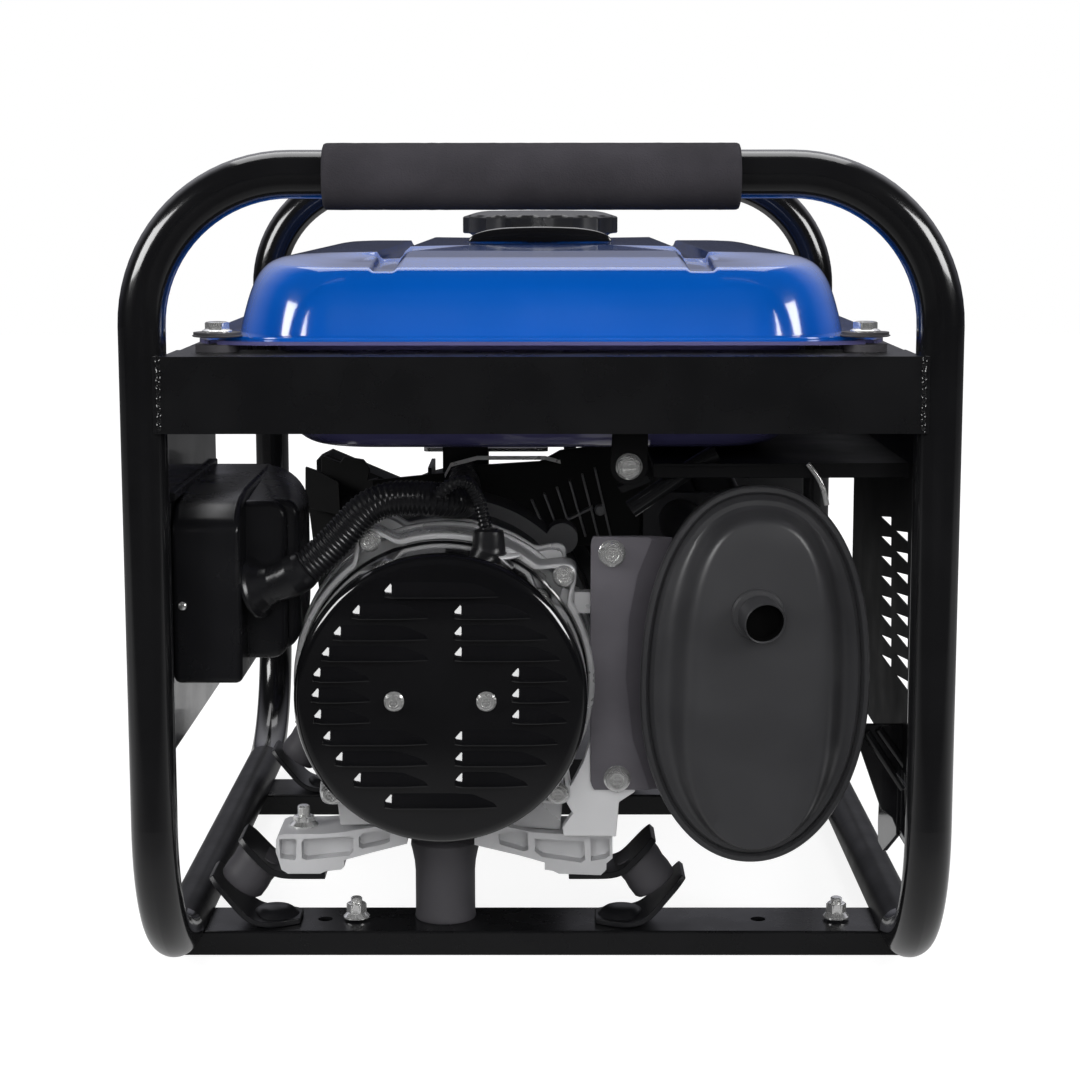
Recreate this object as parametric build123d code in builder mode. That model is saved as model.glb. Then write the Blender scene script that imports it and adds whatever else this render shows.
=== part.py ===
"""Portable generator, an open-frame petrol set, as an assembly of separate pieces.

Millimetres. +X is to the right when facing the alternator end, +Y runs back along
the crankshaft towards the recoil starter and +Z is up. The origin is on the floor,
under the middle of the frame.
"""

import os
from math import cos, radians, sin, sqrt

from build123d import *

os.makedirs("parts", exist_ok=True)

# ---------------------------------------------------------------- driving dimensions
TUBE_R = 12.7
TUBE_WALL = 1.6
HALF_WIDTH = 212.3
HOOP_Y = 289.0
RAIL_Z = 17.6
TOP_Z = 456.3
TOP_BEND_R = 80.0
BOTTOM_BEND_R = 85.0
WELD_GAP = 0.1

GRIP_R = 17.6
GRIP_X0 = -114.5
GRIP_X1 = 106.5

BEAM_Z0 = 320.0
BEAM_Z1 = 361.0
BEAM_T = 2.5
BEAM_DEPTH = 56.0
BEAM_FRONT = 300.0
SIDE_RAIL_W = 22.0
SIDE_RAIL_Z0 = 322.0
SIDE_RAIL_Z1 = 352.0

MEMBER_H = 15.0
MEMBER_W = 48.0
MEMBER_T = 2.0
MEMBER_FRONT_Y = -178.5
MEMBER_REAR_Y = 138.0
MEMBER_HALF = 211.5
KIT_HOLE_X = 130.0
KIT_HOLE_R = 4.5

# the crankshaft line
AX = -56.0
AZ = 168.0

TANK_Z = 367.0
TANK_T = 2.0
TANK_W = 344.0
TANK_L = 506.0
TANK_TOP_Z = 413.0
TANK_BOTTOM_Z = 303.0
FLANGE_W = 380.0
FLANGE_L = 540.0
TANK_BOLT_X = 177.0
TANK_BOLT_Y = 255.0
GROMMET_H = TANK_Z - BEAM_Z1
NECK_R = 30.0
NECK_BORE_R = 26.0
CAP_R = 50.0
CAP_Z0 = 421.0
CAP_Z1 = 435.5
CAP_LOBES = 8

COVER_R = 82.0
COVER_FRONT = -267.0
COVER_BACK = -217.0
COVER_T = 1.6
BRACKET_R = 85.0
BRACKET_BORE = 76.0
BRACKET_Y0 = -216.0
BRACKET_Y1 = -166.0
FOOT_Y0 = -200.0
FOOT_Y1 = -160.0
FOOT_Z0 = 47.0
FOOT_Z1 = 79.0
FOOT_OUT = 101.0
FOOT_BOLT = 82.0
STUD_R = 92.5
STUD_ANGLES = (42.0, 117.0, 225.0, 315.0)
PLATE_BOLTS = ((40.4, 243.0), (43.8, 111.0))

STATOR_R = 80.0
STATOR_BORE = 54.0
ROTOR_R = 53.0
ROTOR_Y0 = -158.0
ROTOR_Y1 = -82.0
SHAFT_R = 12.5
BEARING_R = 20.0
BEARING_Y0 = -206.0
BEARING_Y1 = -192.0
ADAPTOR_Y0 = -70.0
ADAPTOR_Y1 = -24.0

CASE_Y0 = -24.0
CASE_Y1 = 90.0
CASE_HALF = 72.0
CASE_Z0 = 60.0
CASE_Z1 = 236.0
SUMP_Y1 = 162.0
SUMP_HALF = 94.0
CYL_ANGLE = 25.0
CYL_Y = 33.0
FLYWHEEL_R = 72.0
FLYWHEEL_Y0 = 98.0
FLYWHEEL_Y1 = 138.0
BLOWER_R = 82.0
BLOWER_Y0 = CASE_Y1
BLOWER_Y1 = 160.0
RECOIL_R = 74.0
RECOIL_Y1 = 198.0
PULLEY_R = 28.0

MUFFLER_X = 119.6
MUFFLER_A = 61.3
MUFFLER_UP = 111.3
MUFFLER_DOWN = 97.3
MUFFLER_MID_Z = 172.0
SEAM_Y = -250.0
SEAM_LIP = 3.0
MUFFLER_FRONT = -276.0
MUFFLER_BACK = -192.0
TAIL_X = 121.5
TAIL_Z = 214.0
TAIL_R = 11.0
TAIL_FRONT = -288.0

MOUNT_HALF = 116.0
MOUNT_RUBBER_R = 15.0
SHEET = 3.0
POST_R = 19.0
POST_Y = -172.0

PANEL_X = -208.0
PANEL_Y0 = -258.0
PANEL_Y1 = -52.0
PANEL_Z0 = 134.0
PANEL_Z1 = SIDE_RAIL_Z0
BOX_Y0 = -240.0
BOX_Y1 = -66.0
BOX_Z0 = 170.0
BOX_Z1 = 278.0
BOX_X1 = -138.0

GUARD_X = 204.0
GUARD_Y0 = -258.0
GUARD_Y1 = -48.0
GUARD_Z0 = 122.0
GUARD_Z1 = SIDE_RAIL_Z0

LOOM_R = 10.5
BRANCH_R = 6.5
LOOM_PAD_Z = 251.4

EXPORTED = []


# ---------------------------------------------------------------- shared helpers
def save(builder, name):
    """Labels a finished piece and writes its STEP file."""
    builder.part.label = name
    export_step(builder.part, f"parts/{name}.step")
    EXPORTED.append(name)


def front_plane(y, x=0.0, z=0.0):
    """A plane facing the alternator end (-Y) with local x along X and local y along Z."""
    return Plane(origin=(x, y, z), x_dir=(1, 0, 0), z_dir=(0, -1, 0))


def shaft_plane(y):
    """The front-facing plane centred on the crankshaft line."""
    return front_plane(y, AX, AZ)


def side_plane(x, y=0.0, z=0.0):
    """A plane facing left (-X) with local x along -Y and local y along Z."""
    return Plane(origin=(x, y, z), x_dir=(0, -1, 0), z_dir=(-1, 0, 0))


def ring(y0, y1, outer, inner):
    """Adds a ring about the crankshaft line to the part being built."""
    with BuildSketch(shaft_plane(y1)) as annulus:
        Circle(outer)
        Circle(inner, mode=Mode.SUBTRACT)
    extrude(annulus.sketch, amount=y1 - y0)


def block(x0, x1, y0, y1, z0, z1, mode=Mode.ADD):
    """Adds or cuts a block between two corners."""
    with Locations(((x0 + x1) / 2, (y0 + y1) / 2, (z0 + z1) / 2)):
        Box(x1 - x0, y1 - y0, z1 - z0, mode=mode)


def rod_y(x, z, y0, y1, radius, mode=Mode.ADD):
    """Adds or cuts a round rod along Y."""
    with Locations((x, (y0 + y1) / 2, z)):
        Cylinder(radius, y1 - y0, rotation=(90, 0, 0), mode=mode)


def rod_z(x, y, z0, z1, radius, mode=Mode.ADD):
    """Adds or cuts a round rod along Z."""
    with Locations((x, y, (z0 + z1) / 2)):
        Cylinder(radius, z1 - z0, mode=mode)


def rod_x(y, z, x0, x1, radius, mode=Mode.ADD):
    """Adds or cuts a round rod along X."""
    with Locations(((x0 + x1) / 2, y, z)):
        Cylinder(radius, x1 - x0, rotation=(0, 90, 0), mode=mode)


def swept_tube(points, radii, outer, inner=0.0):
    """Adds a round tube that follows straight runs joined by tangent arcs."""
    with BuildLine() as path:
        FilletPolyline(*points, radius=radii)
    start = path.line
    with BuildSketch(Plane(origin=start @ 0, z_dir=start % 0)) as section:
        Circle(outer)
        if inner > 0:
            Circle(inner, mode=Mode.SUBTRACT)
    sweep(section.sketch, path=start)
    return sum(edge.length for edge in start.edges())


def hex_bolt(plane, head=5.0, across=13.0, flange_r=8.6, shank=4.0, length=12.0):
    """Adds a flanged hexagon bolt whose head stands up from the plane."""
    with BuildSketch(plane) as washer:
        Circle(flange_r)
    extrude(washer.sketch, amount=1.8)
    with BuildSketch(plane.offset(1.8)) as hexagon:
        RegularPolygon(across / 2, 6, major_radius=False)
    extrude(hexagon.sketch, amount=head)
    with BuildSketch(plane) as round_shank:
        Circle(shank)
    extrude(round_shank.sketch, amount=-length)


def flange_nut(x, y, seat_z, grip):
    """Adds a flanged nut on a level seat, with the end of its stud and its shank."""
    rod_z(x, y, seat_z, seat_z + 1.8, 9)
    with BuildSketch(Plane.XY.offset(seat_z + 1.8)) as hexagon:
        with Locations((x, y)):
            RegularPolygon(6.5, 6, major_radius=False)
    extrude(hexagon.sketch, amount=7)
    rod_z(x, y, seat_z + 8, seat_z + 16, 4)
    if grip > 0:
        rod_z(x, y, seat_z - grip, seat_z, 4)


def oval(plane, shrink):
    """Sketches the egg-shaped muffler outline, taken in all round by shrink."""
    half = MUFFLER_A - shrink
    with BuildSketch(plane) as sketch:
        with BuildLine():
            EllipticalCenterArc((0, 0), half, MUFFLER_UP - shrink, 0, arc_size=180)
            EllipticalCenterArc((0, 0), half, MUFFLER_DOWN - shrink, 180, arc_size=180)
        make_face()
    return sketch


def corner_radii(points, factor=0.45):
    """Arc radii for a soft route: each as large as its two runs allow."""
    radii = []
    for a, b, c in zip(points, points[1:], points[2:]):
        first = Vector(*b) - Vector(*a)
        second = Vector(*c) - Vector(*b)
        turn = radians(first.get_angle(second))
        run = min(first.length, second.length)
        radii.append(factor * run / (sin(turn / 2) / cos(turn / 2)))
    return radii


# ---------------------------------------------------------------- tube frame
def hoop_points(y):
    """Corners of an end hoop whose legs bend inwards into the side rails."""
    inner = (HOOP_Y - BOTTOM_BEND_R) * (1 if y > 0 else -1)
    left, right = -HALF_WIDTH, HALF_WIDTH
    return [
        (left, inner, RAIL_Z),
        (left, y, RAIL_Z),
        (left, y, TOP_Z),
        (right, y, TOP_Z),
        (right, y, RAIL_Z),
        (right, inner, RAIL_Z),
    ]


HOOP_BENDS = [BOTTOM_BEND_R - 0.01, TOP_BEND_R, TOP_BEND_R, BOTTOM_BEND_R - 0.01]
TUBE_INNER = TUBE_R - TUBE_WALL

with BuildPart() as front_hoop:
    swept_tube(hoop_points(-HOOP_Y), HOOP_BENDS, TUBE_R, TUBE_INNER)
save(front_hoop, "front_hoop")

with BuildPart() as rear_hoop:
    swept_tube(hoop_points(HOOP_Y), HOOP_BENDS, TUBE_R, TUBE_INNER)
save(rear_hoop, "rear_hoop")

RAIL_END = HOOP_Y - BOTTOM_BEND_R

with BuildPart() as bottom_rails:
    for x in (-HALF_WIDTH, HALF_WIDTH):
        rod_y(x, RAIL_Z, -RAIL_END, RAIL_END, TUBE_R)
        rod_y(x, RAIL_Z, -RAIL_END, RAIL_END, TUBE_INNER, Mode.SUBTRACT)
save(bottom_rails, "bottom_rails")


def foam_grip(y, name):
    """Makes the foam sleeve on one top bar."""
    with BuildPart() as grip:
        rod_x(y, TOP_Z, GRIP_X0, GRIP_X1, GRIP_R)
        fillet(grip.edges().filter_by(GeomType.CIRCLE), 2.5)
        rod_x(y, TOP_Z, GRIP_X0, GRIP_X1, TUBE_R + WELD_GAP, Mode.SUBTRACT)
    save(grip, name)


foam_grip(-HOOP_Y, "front_grip")
foam_grip(HOOP_Y, "rear_grip")


def upper_beam(sign, name):
    """Makes the pressed channel that crosses a hoop and carries the tank."""
    face = sign * BEAM_FRONT
    back = sign * (BEAM_FRONT - BEAM_DEPTH)
    low, high = min(face, back), max(face, back)
    half = HALF_WIDTH - 2.0
    with BuildPart() as beam:
        block(-half, half, low, high, BEAM_Z1 - BEAM_T, BEAM_Z1)
        web = sorted((face, face - sign * BEAM_T))
        block(-half, half, web[0], web[1], BEAM_Z0, BEAM_Z1)
        lip = sorted((face, face - sign * 14.0))
        block(-half, half, lip[0], lip[1], BEAM_Z0, BEAM_Z0 + BEAM_T)
        for x in (-HALF_WIDTH, HALF_WIDTH):
            rod_z(x, sign * HOOP_Y, BEAM_Z0 - 5, BEAM_Z1 + 5, TUBE_R + WELD_GAP, Mode.SUBTRACT)
            outside = sorted((x, x * 1.2))
            block(outside[0], outside[1], low - 1, high + 1, BEAM_Z0, BEAM_Z1, Mode.SUBTRACT)
        corner = HALF_WIDTH - SIDE_RAIL_W / 2 - WELD_GAP
        inner_edge = sorted((back - sign, sign * (HOOP_Y - TUBE_R)))
        for x in (-1, 1):
            cut = sorted((x * corner, x * 260))
            block(cut[0], cut[1], inner_edge[0], inner_edge[1], BEAM_Z0, BEAM_Z1, Mode.SUBTRACT)
            rod_z(x * TANK_BOLT_X, sign * TANK_BOLT_Y, BEAM_Z1 - 5, BEAM_Z1 + 1, 4.6, Mode.SUBTRACT)
    save(beam, name)


upper_beam(-1, "front_beam")
upper_beam(1, "rear_beam")


SIDE_RAIL_REACH = HOOP_Y - TUBE_R - WELD_GAP
SIDE_RAIL_WALL = 2.0

with BuildPart() as side_rails:
    half = SIDE_RAIL_W / 2
    inner = half - SIDE_RAIL_WALL
    low, high = SIDE_RAIL_Z0 + SIDE_RAIL_WALL, SIDE_RAIL_Z1 - SIDE_RAIL_WALL
    for x in (-HALF_WIDTH, HALF_WIDTH):
        block(x - half, x + half, -SIDE_RAIL_REACH, SIDE_RAIL_REACH, SIDE_RAIL_Z0, SIDE_RAIL_Z1)
    fillet(side_rails.edges().filter_by(Axis.Y), 3)
    for x in (-HALF_WIDTH, HALF_WIDTH):
        block(x - inner, x + inner, -SIDE_RAIL_REACH, SIDE_RAIL_REACH, low, high, Mode.SUBTRACT)
save(side_rails, "side_rails")


def cross_member(y, name):
    """Makes a low box member that the set stands on, coped round both rails."""
    half = MEMBER_W / 2
    with BuildPart() as member:
        block(-MEMBER_HALF, MEMBER_HALF, y - half, y + half, 0, MEMBER_H)
        fillet(member.edges().filter_by(Axis.X), 1.5)
        low, high = y - half + MEMBER_T, y + half - MEMBER_T
        block(-220, 220, low, high, MEMBER_T, MEMBER_H - MEMBER_T, Mode.SUBTRACT)
        for x in (-HALF_WIDTH, HALF_WIDTH):
            rod_y(x, RAIL_Z, y - 40, y + 40, TUBE_R + WELD_GAP, Mode.SUBTRACT)
        for x in (-KIT_HOLE_X, KIT_HOLE_X):
            rod_z(x, y, -1, MEMBER_H + 1, KIT_HOLE_R, Mode.SUBTRACT)
    save(member, name)


cross_member(MEMBER_FRONT_Y, "front_cross_member")
cross_member(MEMBER_REAR_Y, "rear_cross_member")


# ---------------------------------------------------------------- fuel tank
def tank_form(width, length, z0, z1, corner, taper, edge):
    """A tapered pan with rounded corners and a soft edge at z1, as a loose solid."""
    rising = z1 > z0
    with BuildPart() as form:
        with BuildSketch(Plane.XY.offset(z0)):
            RectangleRounded(width, length, corner)
        extrude(amount=abs(z1 - z0), dir=(0, 0, 1 if rising else -1), taper=taper)
        ends = form.faces().sort_by(Axis.Z)
        fillet((ends[-1] if rising else ends[0]).edges(), edge)
    return form.part


WALLS = 2 * TANK_T
UPPER_TOP = TANK_TOP_Z - TANK_T
LOWER_FLOOR = TANK_BOTTOM_Z + TANK_T
LOWER_W = TANK_W - 36
LOWER_L = TANK_L - 40
upper_outside = tank_form(TANK_W, TANK_L, TANK_Z, TANK_TOP_Z, 62, 10, 20)
upper_inside = tank_form(TANK_W - WALLS, TANK_L - WALLS, TANK_Z, UPPER_TOP, 60, 10, 18)
lower_outside = tank_form(LOWER_W, LOWER_L, TANK_Z - TANK_T, TANK_BOTTOM_Z, 60, 8, 22)
lower_inside = tank_form(LOWER_W - WALLS, LOWER_L - WALLS, TANK_Z, LOWER_FLOOR, 58, 8, 20)

with BuildPart() as tank_upper:
    add(upper_outside)
    with BuildSketch(Plane.XY.offset(TANK_TOP_Z - 1)):
        RectangleRounded(140, 430, 18)
    extrude(amount=4.5, taper=30)
    rod_z(-1, 0, TANK_TOP_Z, TANK_TOP_Z + 5.5, 54)
    with BuildSketch(Plane.XY.offset(TANK_Z)):
        RectangleRounded(FLANGE_W, FLANGE_L, 40)
    extrude(amount=TANK_T)
    add(upper_inside, mode=Mode.SUBTRACT)
    rod_z(-1, 0, TANK_TOP_Z - 20, TANK_TOP_Z + 20, NECK_R + WELD_GAP, Mode.SUBTRACT)
    with GridLocations(2 * TANK_BOLT_X, 2 * TANK_BOLT_Y, 2, 2):
        with Locations((0, 0, TANK_Z)):
            Cylinder(5, 10, mode=Mode.SUBTRACT)
save(tank_upper, "tank_upper_shell")

with BuildPart() as tank_lower:
    add(lower_outside)
    with BuildSketch(Plane.XY.offset(TANK_Z - TANK_T)):
        RectangleRounded(FLANGE_W, FLANGE_L, 40)
    extrude(amount=TANK_T)
    add(lower_inside, mode=Mode.SUBTRACT)
    with GridLocations(2 * TANK_BOLT_X, 2 * TANK_BOLT_Y, 2, 2):
        with Locations((0, 0, TANK_Z)):
            Cylinder(5, 10, mode=Mode.SUBTRACT)
save(tank_lower, "tank_lower_shell")

with BuildPart() as filler_neck:
    rod_z(-1, 0, TANK_TOP_Z - 12, CAP_Z0 + 5, NECK_R)
    rod_z(-1, 0, TANK_TOP_Z - 13, CAP_Z0 + 6, NECK_BORE_R, Mode.SUBTRACT)
save(filler_neck, "filler_neck")

with BuildPart() as tank_cap:
    rod_z(-1, 0, TANK_TOP_Z + 6, CAP_Z0, CAP_R - 6)
    rod_z(-1, 0, CAP_Z0, CAP_Z1, CAP_R)
    with Locations((-1, 0, CAP_Z1 - 6)):
        with PolarLocations(CAP_R + 9, CAP_LOBES):
            Cylinder(14, 30, mode=Mode.SUBTRACT)
    fillet(tank_cap.faces().sort_by(Axis.Z)[-1].edges(), 2)
    rod_z(-1, 0, TANK_TOP_Z, CAP_Z1 - 4, NECK_R + 2, Mode.SUBTRACT)
save(tank_cap, "tank_cap")

with BuildPart() as tank_grommets:
    with GridLocations(2 * TANK_BOLT_X, 2 * TANK_BOLT_Y, 2, 2):
        with Locations((0, 0, BEAM_Z1 + (GROMMET_H - TANK_T) / 2)):
            Cylinder(12, GROMMET_H - TANK_T)
            Cylinder(4.6, GROMMET_H, mode=Mode.SUBTRACT)
        with Locations((0, 0, TANK_Z + TANK_T + 1.25)):
            Cylinder(13, 2.5)
            Cylinder(4.6, 3, mode=Mode.SUBTRACT)
save(tank_grommets, "tank_grommets")

with BuildPart() as tank_bolts:
    for x in (-TANK_BOLT_X, TANK_BOLT_X):
        for y in (-TANK_BOLT_Y, TANK_BOLT_Y):
            head_z = TANK_Z + TANK_T + 2.5
            seat = Plane(origin=(x, y, head_z), z_dir=(0, 0, 1))
            hex_bolt(seat, head=4.5, flange_r=11, shank=4.0, length=head_z - BEAM_Z1 + 10)
save(tank_bolts, "tank_bolts")

TAP_X, TAP_Y = 20.0, 150.0
TAP_Z = TANK_BOTTOM_Z

with BuildPart() as fuel_tap:
    rod_z(TAP_X, TAP_Y, TAP_Z - 8, TAP_Z, 9)
    block(TAP_X - 9, TAP_X + 9, TAP_Y - 11, TAP_Y + 11, TAP_Z - 26, TAP_Z - 8)
    rod_z(TAP_X, TAP_Y, TAP_Z - 34, TAP_Z - 26, 4)
save(fuel_tap, "fuel_tap")

with BuildPart() as fuel_tap_lever:
    rod_y(TAP_X, TAP_Z - 17, TAP_Y + 11.3, TAP_Y + 16, 6)
    with BuildSketch(Plane(origin=(TAP_X, TAP_Y + 16, TAP_Z - 17), x_dir=(1, 0, 0), z_dir=(0, 1, 0))):
        with Locations((11, 0)):
            SlotOverall(34, 10)
    extrude(amount=4)
save(fuel_tap_lever, "fuel_tap_lever")


# ---------------------------------------------------------------- alternator
LOUVRE_ROWS = 11
LOUVRE_PITCH = 12.0
LOUVRE_H = 3.0
LOUVRE_MARGIN = 12.0
LOUVRE_CENTRE = 14.0
COVER_HUB = 40.0
COVER_BOLT_X = 25.6

with BuildPart() as end_cover:
    with BuildSketch(Plane.XY) as dish:
        with BuildLine():
            edge = COVER_R - 9
            back = COVER_BACK - COVER_FRONT
            Polyline((0, 0), (edge, 0))
            RadiusArc((edge, 0), (COVER_R, 9), -9)
            Polyline((COVER_R, 9), (COVER_R, back), (COVER_R - COVER_T, back), (COVER_R - COVER_T, 9))
            RadiusArc((COVER_R - COVER_T, 9), (edge, COVER_T), 9 - COVER_T)
            Polyline((edge, COVER_T), (0, COVER_T), (0, 0))
        make_face()
    revolve(axis=Axis.Y)
    for row in range(LOUVRE_ROWS):
        z = (row - (LOUVRE_ROWS - 1) / 2) * LOUVRE_PITCH
        reach = sqrt((COVER_R - LOUVRE_MARGIN) ** 2 - z**2) - 1
        inner = COVER_HUB if abs(z) < LOUVRE_PITCH * 1.6 else 7.0
        outer_rows = abs(row - (LOUVRE_ROWS - 1) / 2) > 4.5
        spans = [(-reach, reach)] if outer_rows else [(-reach, -inner), (inner, reach)]
        for x0, x1 in spans:
            block(x0, x1, -2, 4, z - LOUVRE_H / 2, z + LOUVRE_H / 2, Mode.SUBTRACT)
    for x in (-COVER_BOLT_X, COVER_BOLT_X):
        rod_y(x, 0, -2, 4, 3.2, Mode.SUBTRACT)
end_cover.part = Pos(AX, COVER_FRONT, AZ) * end_cover.part
save(end_cover, "end_cover")


def stud_centres():
    """Centres of the four through-bolts round the alternator, in XZ."""
    turns = [radians(a) for a in STUD_ANGLES]
    return [(AX + STUD_R * cos(t), AZ + STUD_R * sin(t)) for t in turns]


with BuildPart() as end_bracket:
    ring(BRACKET_Y0, BRACKET_Y1, BRACKET_R, 60.0)
    for x, z in stud_centres():
        rod_y(x, z, BRACKET_Y0, BRACKET_Y1, 10)
    with BuildSketch(front_plane(FOOT_Y1, AX)):
        with BuildLine():
            Polyline(
                (-FOOT_OUT, FOOT_Z0 + 9), (-FOOT_OUT, FOOT_Z1 - 3), (-FOOT_OUT + 3, FOOT_Z1),
                (-54, FOOT_Z1), (-38, 92), (-40, 120), (40, 120), (38, 92),
                (54, FOOT_Z1), (FOOT_OUT - 3, FOOT_Z1), (FOOT_OUT, FOOT_Z1 - 3),
                (FOOT_OUT, FOOT_Z0 + 9), (FOOT_OUT - 9, FOOT_Z0), (56, FOOT_Z0), (26, 64),
                (-26, 64), (-56, FOOT_Z0), (-FOOT_OUT + 9, FOOT_Z0), close=True,
            )
        make_face()
    extrude(amount=FOOT_Y1 - FOOT_Y0)
    for side in (-1, 1):
        for inner, outer, low, high in ((89, 97, 58, 72), (57, 86, 53, 72), (33, 52, 66, 77)):
            xs = sorted((AX + side * inner, AX + side * outer))
            block(xs[0], xs[1], FOOT_Y0 - 1, FOOT_Y0 + 9, low, high, Mode.SUBTRACT)
    block(14, 50, -212, -202, 76, 150)
    with BuildSketch(front_plane(-203)):
        with BuildLine():
            Polyline((10, 203), (12, 222), (26, 255), (54, 255), (54, 232), (32, 203), close=True)
        make_face()
    extrude(amount=9)
    block(-40, -14, -216, -192, 236, LOOM_PAD_Z)
    rod_y(AX, AZ, -300, BRACKET_Y0 + 4, BRACKET_BORE, Mode.SUBTRACT)
    rod_y(AX, AZ, BEARING_Y1 + 6, 0, BRACKET_BORE, Mode.SUBTRACT)
    rod_y(AX, AZ, -300, 0, 60.0, Mode.SUBTRACT)
    rod_y(AX, AZ, BRACKET_Y1, 0, STATOR_R + 0.3, Mode.SUBTRACT)
    ring(BEARING_Y0, BEARING_Y1, 30.0, BEARING_R + 0.05)
    with BuildSketch(shaft_plane(BEARING_Y1)):
        with PolarLocations(52, 4):
            Rectangle(50, 16)
    extrude(amount=BEARING_Y1 - BEARING_Y0)
    for x, z in stud_centres():
        rod_y(x, z, BRACKET_Y0 - 5, BRACKET_Y1 + 8, 3.3, Mode.SUBTRACT)
    for x in (-FOOT_BOLT, FOOT_BOLT):
        rod_z(AX + x, MEMBER_FRONT_Y, FOOT_Z0 - 5, FOOT_Z1 + 5, 4.4, Mode.SUBTRACT)
    for x, z in PLATE_BOLTS:
        rod_y(x, z, -220, -195, 4.2, Mode.SUBTRACT)
save(end_bracket, "end_bracket")

with BuildPart() as stator:
    ring(BRACKET_Y1, ADAPTOR_Y0, STATOR_R, STATOR_BORE)
save(stator, "stator")

with BuildPart() as rotor:
    rod_y(AX, AZ, BEARING_Y0 - 6, CASE_Y0 - 2, SHAFT_R)
    rod_y(AX, AZ, ROTOR_Y0, ROTOR_Y1, ROTOR_R)
    for slot_z in (AZ - 44, AZ + 44):
        block(AX - 14, AX + 14, ROTOR_Y0 - 1, ROTOR_Y1 + 1, slot_z - 12, slot_z + 12, Mode.SUBTRACT)
    rod_y(AX, AZ, -66, -52, 62.0)
    rod_y(AX, AZ, -66, -58, 50.0, Mode.SUBTRACT)
    rod_y(AX, AZ, -66, -52, 22.0)
save(rotor, "rotor")

with BuildPart() as rotor_bearing:
    ring(BEARING_Y0, BEARING_Y1, BEARING_R, SHAFT_R + 0.05)
save(rotor_bearing, "rotor_bearing")

with BuildPart() as voltage_regulator:
    block(AX - 38, AX - 4, BEARING_Y1, BEARING_Y1 + 14, AZ + 30, AZ + 44)
save(voltage_regulator, "voltage_regulator")

with BuildPart() as adaptor_housing:
    ring(ADAPTOR_Y0, ADAPTOR_Y1, 88.0, 70.0)
    for x, z in stud_centres():
        rod_y(x, z, ADAPTOR_Y0, ADAPTOR_Y0 + 20, 10)
    rod_y(AX, AZ, ADAPTOR_Y0 - 1, ADAPTOR_Y1 + 1, 70.0, Mode.SUBTRACT)
    ring(ADAPTOR_Y1 - 8, ADAPTOR_Y1, 75.0, 40.0)
save(adaptor_housing, "adaptor_housing")


# ---------------------------------------------------------------- engine
def cylinder_plane(distance):
    """A plane square to the inclined cylinder, this far from the crankshaft line."""
    tilt = radians(CYL_ANGLE)
    origin = (AX + distance * cos(tilt), CYL_Y, AZ + distance * sin(tilt))
    return Plane(origin=origin, x_dir=(0, 1, 0), z_dir=(cos(tilt), 0, sin(tilt)))


CYL_ROOT = 84.0
CYL_TOP = 146.0
HEAD_TOP = 178.0
VALVE_TOP = 205.0
FIN_PITCH = 9.0
HEAD_HALF = 54.0
HEAD_FRONT = CYL_Y - HEAD_HALF
HEAD_BACK = CYL_Y + HEAD_HALF
AIR_BOX_Y0 = 128.0

with BuildPart() as crankcase:
    with BuildSketch(shaft_plane(CASE_Y1)):
        with Locations((0, (CASE_Z0 + CASE_Z1) / 2 - AZ)):
            RectangleRounded(2 * CASE_HALF, CASE_Z1 - CASE_Z0, 26)
    extrude(amount=CASE_Y1 - CASE_Y0)
    block(AX - SUMP_HALF, AX + SUMP_HALF, CASE_Y0 + 30, SUMP_Y1, FOOT_Z0, CASE_Z0 + 8)
    with BuildSketch(cylinder_plane(CYL_ROOT - 34)):
        Rectangle(86, 86)
    extrude(amount=34)
    with BuildSketch(cylinder_plane(CYL_ROOT)):
        Rectangle(400, 400)
    extrude(amount=200, mode=Mode.SUBTRACT)
    rod_y(AX, AZ, CASE_Y0 - 1, CASE_Y1 + 1, 15.3, Mode.SUBTRACT)
    rod_y(AX, AZ, 4, 62, 50.0, Mode.SUBTRACT)
    block(AX - 50, AX + 50, 2, CASE_Y1 - 26, 66, AZ, Mode.SUBTRACT)
    rod_x(4 + 40, 92, AX - SUMP_HALF, AX - 45, 9.3, Mode.SUBTRACT)
    for x in (-FOOT_BOLT, FOOT_BOLT):
        rod_z(AX + x, MEMBER_REAR_Y, FOOT_Z0 - 5, CASE_Z0 + 12, 4.4, Mode.SUBTRACT)
save(crankcase, "crankcase")

with BuildPart() as crankshaft:
    rod_y(AX, AZ, CASE_Y0 - 2, 8, 15.0)
    rod_y(AX, AZ, 8, 24, 36.0)
    rod_y(AX, AZ, 42, 58, 36.0)
    rod_y(AX, AZ + 24, 24, 42, 14.0)
    rod_y(AX, AZ, 58, FLYWHEEL_Y1 + 12, 15.0)
save(crankshaft, "crankshaft")

with BuildPart() as oil_dipstick:
    rod_x(44, 92, AX - CASE_HALF - 14, AX - CASE_HALF, 14)
    rod_x(44, 92, AX - CASE_HALF, AX - 52, 9.0)
    block(AX - CASE_HALF - 26, AX - CASE_HALF - 14, 44 - 3, 44 + 3, 92 - 12, 92 + 12)
save(oil_dipstick, "oil_dipstick")

with BuildPart() as cylinder_block:
    for n in range(7):
        with BuildSketch(cylinder_plane(CYL_ROOT + 2 + n * FIN_PITCH)):
            RectangleRounded(104, 118, 8)
        extrude(amount=2.6)
    with BuildSketch(cylinder_plane(CYL_ROOT)):
        Circle(44)
    extrude(amount=CYL_TOP - CYL_ROOT)
    with BuildSketch(cylinder_plane(CYL_ROOT)):
        Circle(34)
    extrude(amount=CYL_TOP - CYL_ROOT, mode=Mode.SUBTRACT)
save(cylinder_block, "cylinder")

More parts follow.
